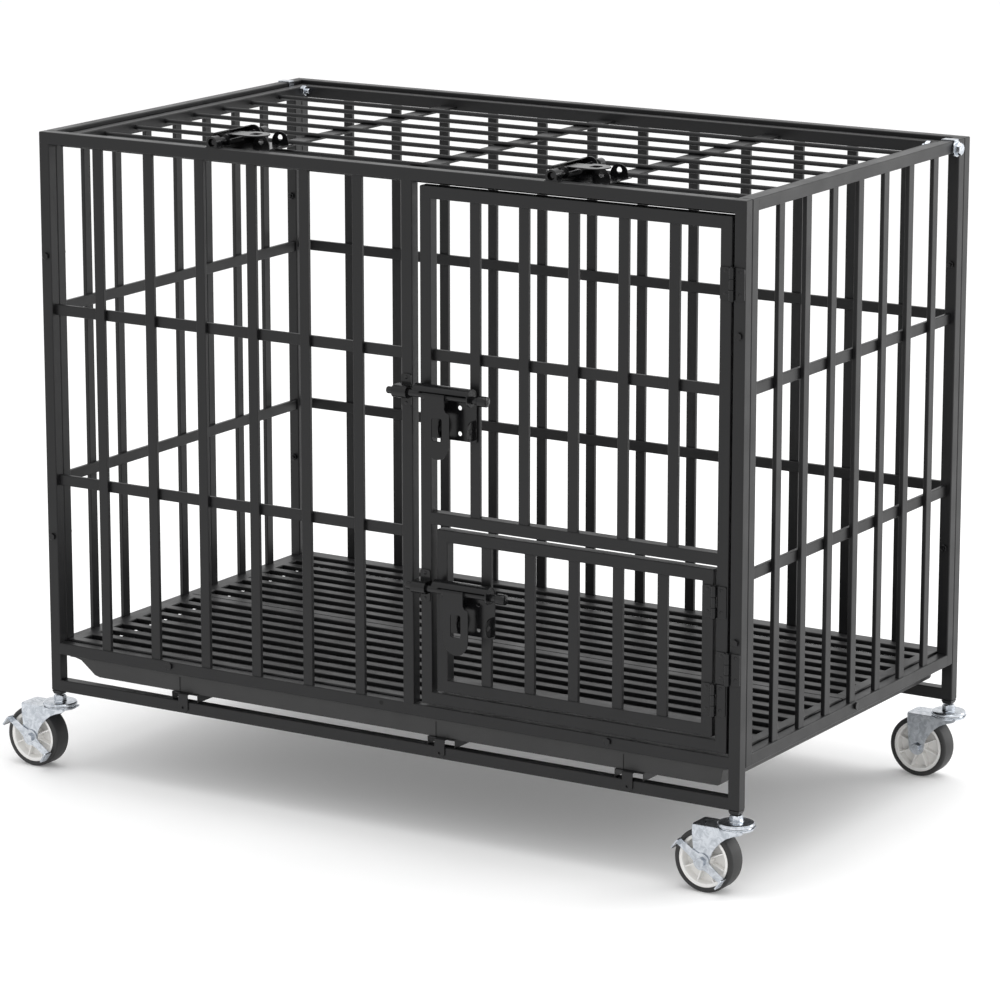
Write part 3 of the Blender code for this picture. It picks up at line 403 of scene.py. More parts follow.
def flat_bars_y(outward, edges, bar_z, mids, mid_x):
    """Uprights and mid bars of a panel that faces Y, as boxes."""
    face = outward * (HALF_DEPTH - BAR_SET_BACK)
    back = face - outward * BAR_THICKNESS
    mid_back = back - outward * BAR_THICKNESS
    low, high = sorted((face, back))
    mid_low, mid_high = sorted((back + outward * LAPPED, mid_back + outward * LAPPED))
    foot, head = bar_z[0] - BAR_SUNK, bar_z[1] + BAR_SUNK
    left, right = mid_x[0] - BAR_SUNK, mid_x[1] + BAR_SUNK
    found = [((x, low, foot), (x + BAR_WIDTH, high, head)) for x in edges]
    found += [((left, mid_low, z), (right, mid_high, z + BAR_WIDTH)) for z in mids]
    return found


def add_cage():
    for name, outward in (("front_panel", -1), ("back_panel", 1)):
        low, high = sorted((outward * HALF_DEPTH, outward * INNER_Y))
        tubes = [
            ((-HALF_LENGTH, low, POST_BOTTOM), (-INNER_X, high, TOP)),
            ((INNER_X, low, POST_BOTTOM), (HALF_LENGTH, high, TOP)),
        ]
        tubes += [
            ((-INNER_X - SUNK, low, z), (INNER_X + SUNK, high, z + TUBE))
            for z in (LOWER_RAIL, BOTTOM_RAIL, TOP_RAIL)
        ]
        if outward < 0:
            edges = [-0.524 + i * 0.096 for i in range(6)]
            tubes.append(((JAMB_X, low, BOTTOM_RAIL + TUBE - SUNK), (JAMB_X + TUBE, high, TOP_RAIL + SUNK)))
            bars = flat_bars_y(-1, edges, (BOTTOM_RAIL + TUBE, TOP_RAIL), MID_BARS, (-INNER_X, JAMB_X))
        else:
            edges = evenly(-INNER_X, INNER_X, 12, BAR_WIDTH)
            bars = flat_bars_y(1, edges, (BOTTOM_RAIL + TUBE, TOP_RAIL), MID_BARS, (-INNER_X, INNER_X))
        frame_pair(name, tubes, bars, name, "cage", ("front_bars",) if outward < 0 else ())
    for name, side in (("left_panel", -1), ("right_panel", 1)):
        end = INNER_Y - GAP
        low, high = sorted((side * HALF_LENGTH, side * INNER_X))
        tubes = [
            ((low, -end, BOTTOM_RAIL), (high, -end + TUBE, TOP)),
            ((low, end - TUBE, BOTTOM_RAIL), (high, end, TOP)),
        ]
        reach = end - TUBE + SUNK
        tubes += [((low, -reach, z), (high, reach, z + TUBE)) for z in (BOTTOM_RAIL, TOP_RAIL)]
        face = side * (HALF_LENGTH - BAR_SET_BACK)
        back = face - side * BAR_THICKNESS
        bar_low, bar_high = sorted((face, back))
        mid_low, mid_high = sorted((back + side * LAPPED, back - side * (BAR_THICKNESS - LAPPED)))
        bars = []
        for i in range(7):
            y = (i - 3) * 0.082 - BAR_WIDTH / 2
            foot, head = BOTTOM_RAIL + TUBE - SUNK, TOP_RAIL + SUNK
            bars.append(((bar_low, y, foot), (bar_high, y + BAR_WIDTH, head)))
        bars += [((mid_low, -reach, z), (mid_high, reach, z + BAR_WIDTH)) for z in MID_BARS]
        frame_pair(name, tubes, bars, name, "cage")


def add_doors():
    low, high = FRONT, FRONT + TUBE
    for name, x, z, rails, bars_from, mids in (
        ("main_door", MAIN_DOOR_X, MAIN_DOOR_Z, (MAIN_DIVIDER,), MAIN_DIVIDER, (MAIN_MID_BAR,)),
        ("small_door", SMALL_DOOR_X, SMALL_DOOR_Z, (), SMALL_DOOR_Z[0], ()),
    ):
        bar_z = (bars_from + TUBE, z[1] - TUBE)
        tubes = [
            ((x[0], low, z[0]), (x[0] + TUBE, high, z[1])),
            ((x[1] - TUBE, low, z[0]), (x[1], high, z[1])),
        ]
        clear = (x[0] + TUBE, x[1] - TUBE)
        tubes += [
            ((clear[0] - SUNK, low, height), (clear[1] + SUNK, high, height + TUBE))
            for height in (z[0], *rails, z[1] - TUBE)
        ]
        bars = flat_bars_y(-1, evenly(*clear, 5, BAR_WIDTH), bar_z, mids, clear)
        frame_pair(name, tubes, bars, name, name)


def add_lid():
    low, high = LID_TOP - TUBE, LID_TOP
    tubes = [
        ((-LID_HALF_X, -LID_HALF_Y, low), (LID_HALF_X, -LID_HALF_Y + TUBE, high)),
        ((-LID_HALF_X, LID_HALF_Y - TUBE, low), (LID_HALF_X, LID_HALF_Y, high)),
    ]
    reach = LID_HALF_Y - TUBE + SUNK
    tubes += [
        ((-LID_HALF_X, -reach, low), (-LID_HALF_X + TUBE, reach, high)),
        ((LID_HALF_X - TUBE, -reach, low), (LID_HALF_X, reach, high)),
    ]
    rod_z = (low + high) / 2
    cross_top = rod_z - LID_ROD_RADIUS + LAPPED
    cross_bottom, half = cross_top - LID_CROSS_THICKNESS, LID_CROSS_WIDTH / 2
    crosses = [((x - half, -reach, cross_bottom), (x + half, reach, cross_top)) for x in (-0.3, 0.0, 0.3)]
    coat = M["powder_coat"]
    show("lid_tubes", boxes(*tubes), coat, "lid", "powder_coat", ("lid",), TUBE_EDGE, 3, True)
    show("lid_cross_bars", boxes(*crosses), coat, "lid", "powder_coat", (), STRIP_EDGE, 2, True)
    end = LID_HALF_X - TUBE + SUNK
    rods = [((-end, (i - 3) * 0.080, rod_z), (end, (i - 3) * 0.080, rod_z)) for i in range(7)]
    show("lid_rods", cylinders(*rods, radius=LID_ROD_RADIUS, sides=20), coat, "lid", "powder_coat")


def add_floor_grate():
    end_x = INNER_X - GAP
    low, high = GRATE_BOTTOM, GRATE_BOTTOM + TUBE
    near, far = GAP, INNER_Y - GAP
    for name, side in (("floor_grate_front", -1), ("floor_grate_back", 1)):
        tubes = []
        for start, end in ((near, near + TUBE), (far - TUBE, far)):
            y = sorted((side * start, side * end))
            tubes.append(((-end_x, y[0], low), (end_x, y[1], high)))
        y = sorted((side * (near + TUBE - SUNK), side * (far - TUBE + SUNK)))
        tubes += [
            ((-end_x, y[0], low), (-end_x + TUBE, y[1], high)),
            ((end_x - TUBE, y[0], low), (end_x, y[1], high)),
        ]
        bars = [
            ((x - BAR_WIDTH / 2, y[0], high - 0.0135), (x + BAR_WIDTH / 2, y[1], high - 0.0065))
            for x in (-0.205, 0.205)
        ]
        first, last = near + TUBE / 2, far - TUBE / 2
        reach = end_x - TUBE + SUNK
        for i in range(1, 8):
            middle = first + (last - first) * i / 8
            ends = sorted((side * (middle - BAR_WIDTH / 2), side * (middle + BAR_WIDTH / 2)))
            bars.append(((-reach, ends[0], high - BAR_THICKNESS), (reach, ends[1], high)))
        frame_pair(name, tubes, bars, name, "cage")


def add_tray():
    left, right = -0.592, 0.600
    left_foot, right_foot = -0.538, 0.590
    wall = 0.002
    outer = [
        (left, TRAY_TOP),
        (left, TRAY_TOP - wall),
        (left + 0.010, TRAY_TOP - wall),
        (left + 0.022, TRAY_TOP - wall - 0.003),
        (left_foot - 0.014, TRAY_BOTTOM + 0.009),
        (left_foot - 0.006, TRAY_BOTTOM + 0.0025),
        (left_foot + 0.004, TRAY_BOTTOM),
        *arc((right_foot - 0.006, TRAY_BOTTOM + 0.006), 0.006, -90, 0, 7),
        (right_foot + 0.004, TRAY_TOP - wall - 0.001),
        (right, TRAY_TOP - wall),
        (right, TRAY_TOP),
    ]
    inner = [
        (left + 0.024, TRAY_TOP + wall),
        (left + 0.024, TRAY_TOP - wall),
        (left_foot - 0.006, TRAY_BOTTOM + 0.005 + wall),
        (left_foot + 0.006, TRAY_BOTTOM + wall),
        (right_foot - 0.008, TRAY_BOTTOM + wall),
        (right_foot - wall, TRAY_BOTTOM + 0.008),
        (right_foot + 0.002, TRAY_TOP - wall),
        (right_foot + 0.002, TRAY_TOP + wall),
    ]
    depth = TRAY_BACK - TRAY_FRONT
    middle = (TRAY_BACK + TRAY_FRONT) / 2
    body = plate([outer], depth, upright(middle))
    hollow = plate([inner], depth - 2 * wall, upright(middle))
    near, far, low, high = TRAY_FRONT - 0.001, TRAY_FRONT + 0.0012, TRAY_BOTTOM - 0.001, TRAY_TOP - 0.0045
    notches = [((x - 0.0125, near, low), (x + 0.0125, far, high)) for x in RUNNER_X]
    mesh = cut(body, hollow, boxes(*notches))
    show("tray_shell", mesh, M["tray_plastic"], "tray", "tray_plastic", ("tray",), STRIP_EDGE, 2)


def add_runners():
    for name, x in zip(("left", "middle", "right"), RUNNER_X):
        node = f"tray_runner_{name}"
        half, tab = 0.025, 0.009
        end, front = HALF_DEPTH - 0.004, FRONT - GAP
        low = LOWER_RAIL + TUBE + GAP
        top = low + 0.0125
        channel = boxes(((x - half, -end, low), (x + half, end, top)))
        inside = x - half + SHEET, x + half - SHEET
        hollow = boxes(((inside[0], -end - 0.001, low - 0.001), (inside[1], end + 0.001, top - SHEET)))
        ledge = boxes(((x - tab, front - SHEET, top - SHEET), (x + tab, -end + 0.0005, top)))
        outline = [(x - tab, top - SHEET / 2), (x - tab, low - 0.0130)]
        outline += arc((x, low - 0.0080), tab, 210, 330, 9)
        outline += [(x + tab, low - 0.0130), (x + tab, top - SHEET / 2)]
        drop = plate([outline, circle((x, low - 0.0095), 0.0022, 20)], SHEET, upright(front - SHEET / 2))
        mesh = joined(cut(channel, hollow), ledge, drop)
        show(node + "_strip", mesh, M["powder_coat"], "cage", "powder_coat", (node,), 0.0004, 2)


def add_frame_fasteners():
    """Heads, nuts and thread ends of the bolts that hold the panels together, and a near-black disc of
    painted shade for the spare hole.
    """
    heads, nuts, ends = [], [], []
    for sign in (-1, 1):
        places = [(side * STEM_X, z) for side in (-1, 1) for z in POST_BOLT_Z]
        places += [(x, FLOOR_BOLT_Z) for x in FLOOR_BOLT_X]
        face, inside = sign * (HALF_DEPTH - 0.0002), sign * (INNER_Y - GAP - TUBE + 0.0002)
        for x, z in places:
            heads.append(hexagon((x, face, z), (0, sign, 0), BOLT_HEX, BOLT_HEAD_HEIGHT))
            nuts.append(hexagon((x, inside, z), (0, -sign, 0), BOLT_HEX, BOLT_NUT_HEIGHT))
            ends.append(((x, inside, z), (x, inside - sign * 0.0085, z)))
        side_screw = (sign * (HALF_LENGTH - 0.0002), SIDE_SCREW_Y, FLOOR_BOLT_Z)
        heads.append(hexagon(side_screw, (sign, 0, 0), BOLT_HEX, BOLT_HEAD_HEIGHT))
    thread_ends = cylinders(*ends, radius=0.0029, sides=16)
    for name, mesh in (("heads", together(*heads)), ("nuts", together(*nuts)), ("ends", thread_ends)):
        show(f"frame_bolt_{name}", mesh, M["black_steel"], "cage", "black_steel")
    # The spare hole is not cut: a thin near-black disc on the tube's front face is painted shade for the
    # inside of the hole
    depth = (SPARE_HOLE_X, FRONT + 0.001, FLOOR_BOLT_Z), (SPARE_HOLE_X, FRONT - 0.00006, FLOOR_BOLT_Z)
    hole = cylinders(depth, radius=SPARE_HOLE_RADIUS)
    show("spare_bolt_hole_painted_shade", hole, M["dark"], "cage", "powder_coat")


def hinge_leaf(direction, knuckles):
    """A leaf with rounded corners and its knuckles, about the bottom of the pin line."""
    face = HINGE_STAND_OFF - GAP
    third = HINGE_HEIGHT / 3
    near, far = direction * 0.0045, direction * 0.0200
    low, high = min(near, far), max(near, far)
    leaf = plate([rounded((low, 0.0), (high, HINGE_HEIGHT), 0.0028)], SHEET, upright(face - SHEET / 2))
    pieces = [leaf]
    for index in knuckles:
        start = index * third + (GAP / 2 if index else 0.0)
        end = (index + 1) * third - (GAP / 2 if index < 2 else 0.0)
        reach = sorted((0.0, direction * 0.0052))
        pieces.append(boxes(((reach[0], face - SHEET, start), (reach[1], face, end))))
        upper = [(0.004, end - 0.0003), (0.0037, end), (0.0022, end)]
        lower = [(0.0022, start), (0.0037, start), (0.004, start + 0.0003)]
        pieces.append(turned([*upper, *lower], 28, closed=True))
    return together(*pieces)


def add_hinges():
    y = FRONT - HINGE_STAND_OFF
    leaf_front = FRONT - GAP - SHEET
    main, small = (MAIN_HINGE_X, MAIN_HINGE_Z), (SMALL_HINGE_X, SMALL_HINGE_Z)
    sets = (
        ("main_hinge", main, "post_leaf", "cage", "main_door", (0.0132, -0.0109)),
        ("small_hinge", small, "frame_leaf", "main_door", "small_door", (0.0122, -0.0114)),
    )
    for name, (x, heights), fixed, fixed_body, moving_body, rivets in sets:
        for label, z in zip(("lower", "upper"), heights):
            at = Matrix.Translation((x, y, z))
            foot = [(0.0019, 0.0), (0.0028, 0.0), (0.0028, -0.0006), (0.0020, -0.0012), (0.0, -0.0012)]
            head = [(radius, HINGE_HEIGHT - height) for radius, height in reversed(foot)]
            pin = turned([*head, *foot], 24)
            mesh = moved(together(hinge_leaf(1, (0, 2)), pin), at)
            node = f"{name}_{label}_{fixed}"
            show(node + "_plate", mesh, M["black_steel"], fixed_body, "black_steel", (node,), SMALL_EDGE)
            mesh = moved(hinge_leaf(-1, (1,)), at)
            node = f"{name}_{label}_door_leaf"
            show(node + "_plate", mesh, M["black_steel"], moving_body, "black_steel", (node,), SMALL_EDGE)
            for side, body in ((rivets[0], fixed_body), (rivets[1], moving_body)):
                heads = [
                    dome((x + side, leaf_front + 0.0001, z + up), (0, -1, 0), 0.0030, 0.0008)
                    for up in (0.0095, 0.0425)
                ]
                rivets_name = f"{name}_{label}_{body}_rivets"
                show(rivets_name, together(*heads), M["black_steel"], body, "black_steel")


def latch_base():
    back = ROD_STAND_OFF - GAP
    front = back - SHEET
    centre = (0.0, ROOF_RISE)
    inner_radius = ROOF_RADIUS - SHEET
    section = [(back, BASE_BOTTOM), *arc(centre, ROOF_RADIUS, 0, 160, 29)]
    section += [*arc(centre, inner_radius, 160, 0, 29), (front, BASE_BOTTOM)]
    width = BASE_X[1] - BASE_X[0]
    roof = plate([section], width, sideways((BASE_X[0] + BASE_X[1]) / 2))
    ring_outlines = [circle(centre, ROOF_RADIUS - 0.0004, 40), circle((0.0, 0.0), ROD_BORE, 32)]
    ring = plate(ring_outlines, 0.0025, sideways(BASE_X[1] - 0.00175))
    tip = EYE_RADIUS - 0.0070
    eye = [(front + 0.0005, EYE_CENTRE_Z + EYE_RADIUS), (tip, EYE_CENTRE_Z + EYE_RADIUS)]
    eye += arc((tip, EYE_CENTRE_Z), EYE_RADIUS, 100, 260, 21)
    eye += [(tip, EYE_CENTRE_Z - EYE_RADIUS), (front + 0.0005, EYE_CENTRE_Z - EYE_RADIUS)]
    eye_hole = circle((0.002, EYE_CENTRE_Z), 0.0045, 28)
    eyes = [plate([eye, eye_hole], SHEET, sideways(x)) for x in EYE_X]
    hole_z = (EYE_CENTRE_Z + 0.032, EYE_CENTRE_Z - 0.007)
    holes = [((0.120, 0.0, z), (0.120, back + 0.002, z)) for z in hole_z]
    return together(cut(roof, cylinders(*holes, radius=0.0035, sides=28)), ring, *eyes)


def latch_rod(tip):
    collar_radius = 0.0072
    first, last = CURL_X[0] - GAP, CURL_X[1] + GAP
    end, knob_end = 0.160, 0.176
    profile = [
        (0.0, knob_end),
        (KNOB_RADIUS - 0.0016, knob_end),
        (KNOB_RADIUS - 0.0004, knob_end - 0.0006),
        (KNOB_RADIUS, knob_end - 0.0016),
        (KNOB_RADIUS, end + 0.0012),
        (KNOB_RADIUS - 0.0010, end),
        (ROD_RADIUS, end),
        (ROD_RADIUS, last + 0.0012),
        (collar_radius, last + 0.0012),
        (collar_radius, last),
        (ROD_RADIUS, last),
        (ROD_RADIUS, first),
        (collar_radius, first),
        (collar_radius, first - 0.0012),
        (ROD_RADIUS, first - 0.0012),
        (ROD_RADIUS, tip + 0.0018),
        (ROD_RADIUS - 0.0006, tip + 0.0006),
        (ROD_RADIUS - 0.0018, tip),
        (0.0, tip),
    ]
    return turned(profile, 40, "X")


def latch_tongue(length):
    width = TONGUE_X[1] - TONGUE_X[0]
    middle = (TONGUE_X[0] + TONGUE_X[1]) / 2
    round_length, shoulder = 0.024, -0.024
    low = -length + round_length
    half_round = arc((middle, low), width / 2, 360, 180, 33)
    rim = [(TONGUE_X[0], 0.0), (CURL_X[1], 0.0), (CURL_X[1], shoulder + 0.007)]
    rim += [(CURL_X[1] + 0.003, shoulder + 0.0022), (TONGUE_X[1], shoulder)]
    rim += [(x, low + (z - low) * round_length / (width / 2)) for x, z in half_round]
    slot_bottom = max(EYE_CENTRE_Z - 0.018, -length + 0.014)
    slot = rounded((middle - 0.009, slot_bottom), (middle + 0.009, -0.032), 0.0035, 6)
    flat = plate([rim, slot], SHEET, upright(-CURL_RADIUS + SHEET / 2))
    curl = turned(
        [(CURL_RADIUS, CURL_X[1]), (CURL_RADIUS, CURL_X[0]), (ROD_BORE, CURL_X[0]), (ROD_BORE, CURL_X[1])],
        40,
        "X",
        closed=True,
    )
    return together(flat, curl)


def keeper(x, plate_x, plate_half, back):
    half = 0.0095
    root = back - SHEET / 2
    loop = [(root, half), *arc((0.0, 0.0), half, 90, 270, 25), (root, -half)]
    body = plate([loop, circle((0.0, 0.0), 0.0063, 36)], x[1] - x[0], sideways((x[0] + x[1]) / 2))
    outline = rounded((plate_x[0], -plate_half), (plate_x[1], plate_half), 0.004)
    flat = plate([outline], SHEET, upright(back - SHEET / 2))
    return together(flat, body)


def add_latches():
    for name, (at, carrier, fixed) in LATCHES.items():
        on_lid = carrier == "lid"
        place = Matrix.Translation(at) @ (ON_LID if on_lid else Matrix.Identity(4))
        steel = M["black_steel"]
        tip, length = (LID_ROD_TIP, 0.062) if on_lid else (0.0, 0.095)
        parts = (
            ("base", latch_base(), carrier),
            ("rod", latch_rod(tip), f"{name}_rod"),
            ("tongue", latch_tongue(length), f"{name}_tongue"),
        )
        for part, mesh, body in parts:
            node = f"{name}_{part}"
            show(node + "_look", moved(mesh, place), steel, body, "black_steel", (node,), SMALL_EDGE)
        if on_lid:
            rail = ROD_STAND_OFF - (TOP - LID_TOP) + 0.0003
            mesh = moved(keeper((0.0315, 0.0465), (0.0305, 0.0475), 0.013, rail), place)
            show(f"{name}_keeper_look", mesh, steel, "cage", "black_steel", (), SMALL_EDGE)
            continue
        node = f"{name}_keeper"
        mesh = moved(keeper((0.012, 0.037), (0.0172, 0.0345), 0.025, ROD_STAND_OFF - GAP), place)
        show(node + "_look", mesh, steel, fixed, "black_steel", (node,), SMALL_EDGE)
        front = ROD_STAND_OFF - GAP - SHEET
        heads = [dome((0.0258, front + 0.0001, z), (0, -1, 0), 0.0032, 0.0010) for z in (-0.0200, 0.0200)]
        show(f"{name}_keeper_rivets", moved(together(*heads), place), steel, fixed, "black_steel")


def add_lid_pivots():
    strap = 0.0015
    inner_leg, outer_leg = INNER_X - GAP, HALF_LENGTH + GAP
    low, over = -0.010, TOP + GAP - PIVOT_Z
    top = over + strap
    for name, side in (("left", -1), ("right", 1)):
        first, last, corner = inner_leg - strap, outer_leg + strap, 0.001
        section = [(first, low), (inner_leg, low), (inner_leg, over), (outer_leg, over), (outer_leg, low)]
        section += [(last, low), (last, top - corner), (last - corner, top)]
        section += [(first + corner, top), (first, top - corner)]
        saddle = plate([section], 0.014, upright(0.0))
        start = outer_leg + strap / 2
        nut = LID_HALF_X - TUBE - GAP
        rim, face = start + 0.0024, start + 0.0030
        washer_profile = [(0.0125, rim), (0.0119, face), (0.004, face), (0.004, start), (0.0125, start)]
        washer = turned(washer_profile, 48, "X", closed=True)
        head_end, thread_end = start + 0.004, nut - 0.014
        shank_profile = [(0.0, head_end), (0.0039, head_end), (0.0039, thread_end + 0.001)]
        shank = turned([*shank_profile, (0.0030, thread_end), (0.0, thread_end)], 32, "X")
        head = hexagon((start + 0.0028, 0, 0), (1, 0, 0), 0.0098, 0.0076)
        back_nut = hexagon((nut, 0, 0), (-1, 0, 0), 0.0085, 0.0080)
        mesh = together(saddle, washer, shank, head, back_nut)
        place = Matrix.Translation((0.0, PIVOT_Y, PIVOT_Z)) @ Matrix.Diagonal((side, 1.0, 1.0, 1.0))
        node = f"lid_pivot_{name}"
        show(node + "_look", moved(mesh, place), M["zinc"], "cage", "zinc", (node,), SMALL_EDGE)


def wheel_hub():
    half = WHEEL_HALF_WIDTH - 0.001
    rim = turned(
        [
            (HUB_RADIUS, half),
            (HUB_RADIUS - 0.0045, half),
            (HUB_RADIUS - 0.0055, half - 0.0012),
            (HUB_RADIUS - 0.0070, 0.0030),
            (0.0120, 0.0022),
            (0.0115, CHEEK_INNER - 0.0010),
            (0.0105, CHEEK_INNER - GAP),
            (AXLE_BORE, CHEEK_INNER - GAP),
            (AXLE_BORE, -CHEEK_INNER + GAP),
            (0.0105, -CHEEK_INNER + GAP),
            (0.0115, -CHEEK_INNER + 0.0010),
            (0.0120, -0.0022),
            (HUB_RADIUS - 0.0070, -0.0030),
            (HUB_RADIUS - 0.0055, -half + 0.0012),
            (HUB_RADIUS - 0.0045, -half),
            (HUB_RADIUS, -half),
        ],
        96,
        "Y",
        closed=True,
    )
    ribs = []
    for i in range(8):
        rib = boxes(((0.0100, -half + 0.0035, -0.0011), (HUB_RADIUS - 0.0050, half - 0.0035, 0.0011)))
        ribs.append(moved(rib, Matrix.Rotation(math.radians(45 * i + 20), 4, "Y")))
    return together(rim, *ribs)


def wheel_tyre():
    half, shoulder = WHEEL_HALF_WIDTH, 0.0045
    inner = HUB_RADIUS + 0.0001
    side = [
        (WHEEL_RADIUS - shoulder + shoulder * math.cos(a), half - shoulder + shoulder * math.sin(a))
        for a in [math.radians(degrees) for degrees in (0, 22, 45, 68, 90)]
    ]
    profile = [*side, (inner, half), (inner, -half), *[(r, -y) for r, y in reversed(side)]]
    return turned(profile, 128, "Y", closed=True)


def caster_stem():
    disc = turned(
        [
            (0.0, DISC_TOP + 0.001),
            (0.0110, DISC_TOP + 0.001),
            (0.0118, DISC_TOP),
            (0.0225, DISC_TOP),
            (0.0262, DISC_TOP - 0.0009),
            (0.0275, DISC_TOP - 0.0026),
            (0.0275, DISC_BOTTOM + 0.0004),
            (0.0271, DISC_BOTTOM),
            (0.0054, DISC_BOTTOM),
            (0.0054, CROWN_BOTTOM - GAP),
            (0.0085, CROWN_BOTTOM - GAP),
            (0.0075, CROWN_BOTTOM - 0.0035),
            (0.0, CROWN_BOTTOM - 0.0035),
        ],
        64,
    )
    nut = hexagon((0, 0, DISC_TOP), (0, 0, 1), 0.0101, 0.0098)
    return together(disc, nut)


def stem_seal():
    """The dark ring between the upper disc and the fork's race."""
    low, high = SEAL_BOTTOM, DISC_BOTTOM + 0.0002
    return turned([(0.0262, high), (0.0262, low), (0.0200, low), (0.0200, high)], 64, closed=True)


def post_plug():
    """The tapered plastic plug under a post."""
    low, high = POST_BOTTOM - 0.0065, POST_BOTTOM - GAP
    low_radius, high_radius = [(TUBE / 2 - inset) * math.sqrt(2) for inset in (0.0025, 0.0002)]
    plug = cylinders(((0, 0, low), (0, 0, high)), radius=low_radius, end_radius=high_radius, sides=4)
    return moved(plug, Matrix.Rotation(math.pi / 4, 4, "Z"))


def caster_fork():
    edge = CHEEK_OUTER - 0.0003
    side = [(-0.063, -edge + 0.004), (-0.0618, -edge + 0.0012), (-0.059, -edge), (-0.017, -edge)]
    rim = [*side, *arc((0, 0), 0.027, -120, 120, 41), *[(x, -y) for x, y in reversed(side)]]
    bore = circle((0, 0), STEM_BORE, 28)
    crown = plate([rim, bore], CROWN_TOP - CROWN_BOTTOM, level((CROWN_TOP + CROWN_BOTTOM) / 2))
    sunk = CROWN_TOP - 0.0004
    race_profile = [(0.0235, RACE_TOP), (STEM_BORE, RACE_TOP), (STEM_BORE, sunk), (0.0245, sunk)]
    race = turned([*race_profile, (0.0245, 0.1052), (0.0240, 0.1060)], 64, closed=True)
    axle = (-TRAIL, WHEEL_RADIUS)
    cheek = [
        (-0.062, CROWN_TOP - 0.0008),
        (-0.0618, 0.088),
        (-0.0600, 0.070),
        (-0.0582, axle[1] + 0.002),
        *arc(axle, 0.0125, 195, 345, 15),
        (-0.0312, 0.058),
        (-0.0275, 0.066),
        (-0.0215, 0.0745),
        (-0.0140, 0.0825),
        (-0.0050, 0.0895),
        (0.0060, 0.0945),
        (0.0160, 0.0975),
        (0.0210, 0.1000),
        (0.0225, CROWN_TOP - 0.0008),
    ]
    hole = circle(axle, AXLE_BORE, 28)
    cheeks = []
    for sign in (-1, 1):
        middle = sign * (CHEEK_INNER + CHEEK_OUTER) / 2
        cheeks.append(plate([cheek, hole], CHEEK_OUTER - CHEEK_INNER, upright(middle)))
    return together(crown, race, *cheeks)


def axle_bolt(front_face):
    back = CHEEK_OUTER + GAP
    end, start = back + 0.008, front_face - 0.002
    profile = [(0.0, end), (0.0033, end), (0.0039, end - 0.0008), (0.0039, start), (0.0, start)]
    shank = turned(profile, 28, "Y")
    head = hexagon((0, front_face + 0.0001, 0), (0, -1, 0), 0.0075, 0.0055)
    nut = hexagon((0, back - 0.0001, 0), (0, 1, 0), 0.0075, 0.0065)
    return together(shank, head, nut)


def brake_pedal():
    plate_back = -CHEEK_OUTER - GAP
    reach, arm, boss = 0.044, 0.0065, 0.013
    angle = math.degrees(math.asin(arm / boss))
    edge = [(reach, arm - 0.001), (0.020, arm - 0.0004), (0.0150, arm + 0.0004)]
    rim = [*edge, *arc((0, 0), boss, angle + 6, 174 - angle, 21), *[(-x, z) for x, z in reversed(edge)]]
    rim += [(-x, -z) for x, z in rim]
    middle = (PEDAL_FRONT + plate_back) / 2
    body = plate([rim, circle((0, 0), AXLE_BORE, 28)], plate_back - PEDAL_FRONT, upright(middle))
    treads = []
    for sign in (-1, 1):
        outline = rounded((-0.040, -0.009), (plate_back - 0.0005, 0.009), 0.003)
        treads.append(plate([outline], 0.002, sideways(sign * (reach + 0.0005))))
        for y in (-0.036, -0.0325, -0.029):
            low, high = sorted((sign * (reach + 0.0010), sign * (reach + 0.0019)))
            treads.append(boxes(((low, y - 0.0006, -0.0072), (high, y + 0.0006, 0.0072))))
    mesh = together(body, *treads)
    return moved(mesh, Matrix.Rotation(PEDAL_ANGLE, 4, "Y"))


def add_casters():
    for end, y_side in (("front", -1), ("back", 1)):
        for side, x_side in (("left", -1), ("right", 1)):
            name = f"caster_{end}_{side}"
            at = Matrix.Translation((x_side * STEM_X, y_side * STEM_Y, 0.0))
            hub_at = Matrix.Translation((x_side * STEM_X - TRAIL, y_side * STEM_Y, WHEEL_RADIUS))
            fork, wheel = f"{name}_fork", f"{name}_wheel"
            front_face = (PEDAL_FRONT if y_side < 0 else -CHEEK_OUTER) - GAP
            plug, seal = moved(post_plug(), at), moved(stem_seal(), at)
            show(f"{name}_plug", plug, M["black_plastic"], "cage", "powder_coat", (), 0.0010, 2, True)
            show(f"{name}_seal", seal, M["rubber"], "cage", "rubber")
            looks = [
                ("stem", caster_stem(), at, "zinc", "cage", SMALL_EDGE, 2),
                ("fork", caster_fork(), at, "zinc", fork, 0.0006, 3),
                ("axle", axle_bolt(front_face), hub_at, "zinc", fork, 0.0, 2),
                ("hub", wheel_hub(), hub_at, "hub_plastic", wheel, 0.0004, 2),
                ("tyre", wheel_tyre(), hub_at, "rubber", wheel, 0.0, 2),
            ]
            if y_side < 0:
                looks.append(("brake_pedal", brake_pedal(), hub_at, "zinc", f"{name}_pedal", 0.0005, 2))
            for part, mesh, place, kind, body, edge, segments in looks:
                node = f"{name}_{part}"
                show(node + "_look", moved(mesh, place), M[kind], body, kind, (node,), edge, segments)


def add_light(name, place, target, size, power):
    lamp = bpy.data.lights.new(name, "AREA")
    lamp.shape = "RECTANGLE"
    lamp.size, lamp.size_y = size
    lamp.energy = power
    light = bpy.data.objects.new(name, lamp)
    bpy.context.scene.collection.objects.link(light)
    light.location = place
    light.rotation_euler = (Vector(target) - Vector(place)).to_track_quat("-Z", "Y").to_euler()


def seen_or_mirrored(nodes, links):
    """1 on the rays that the camera sees straight, mirrored or through glass, and 0 on the rest."""
    path = nodes.new("ShaderNodeLightPath")
    total = path.outputs["Is Camera Ray"]
    for name in ("Is Glossy Ray", "Is Transmission Ray"):
        step = nodes.new("ShaderNodeMath")
        step.operation = "MAXIMUM"
        links.new(total, step.inputs[0])
        links.new(path.outputs[name], step.inputs[1])
        total = step.outputs["Value"]
    return total


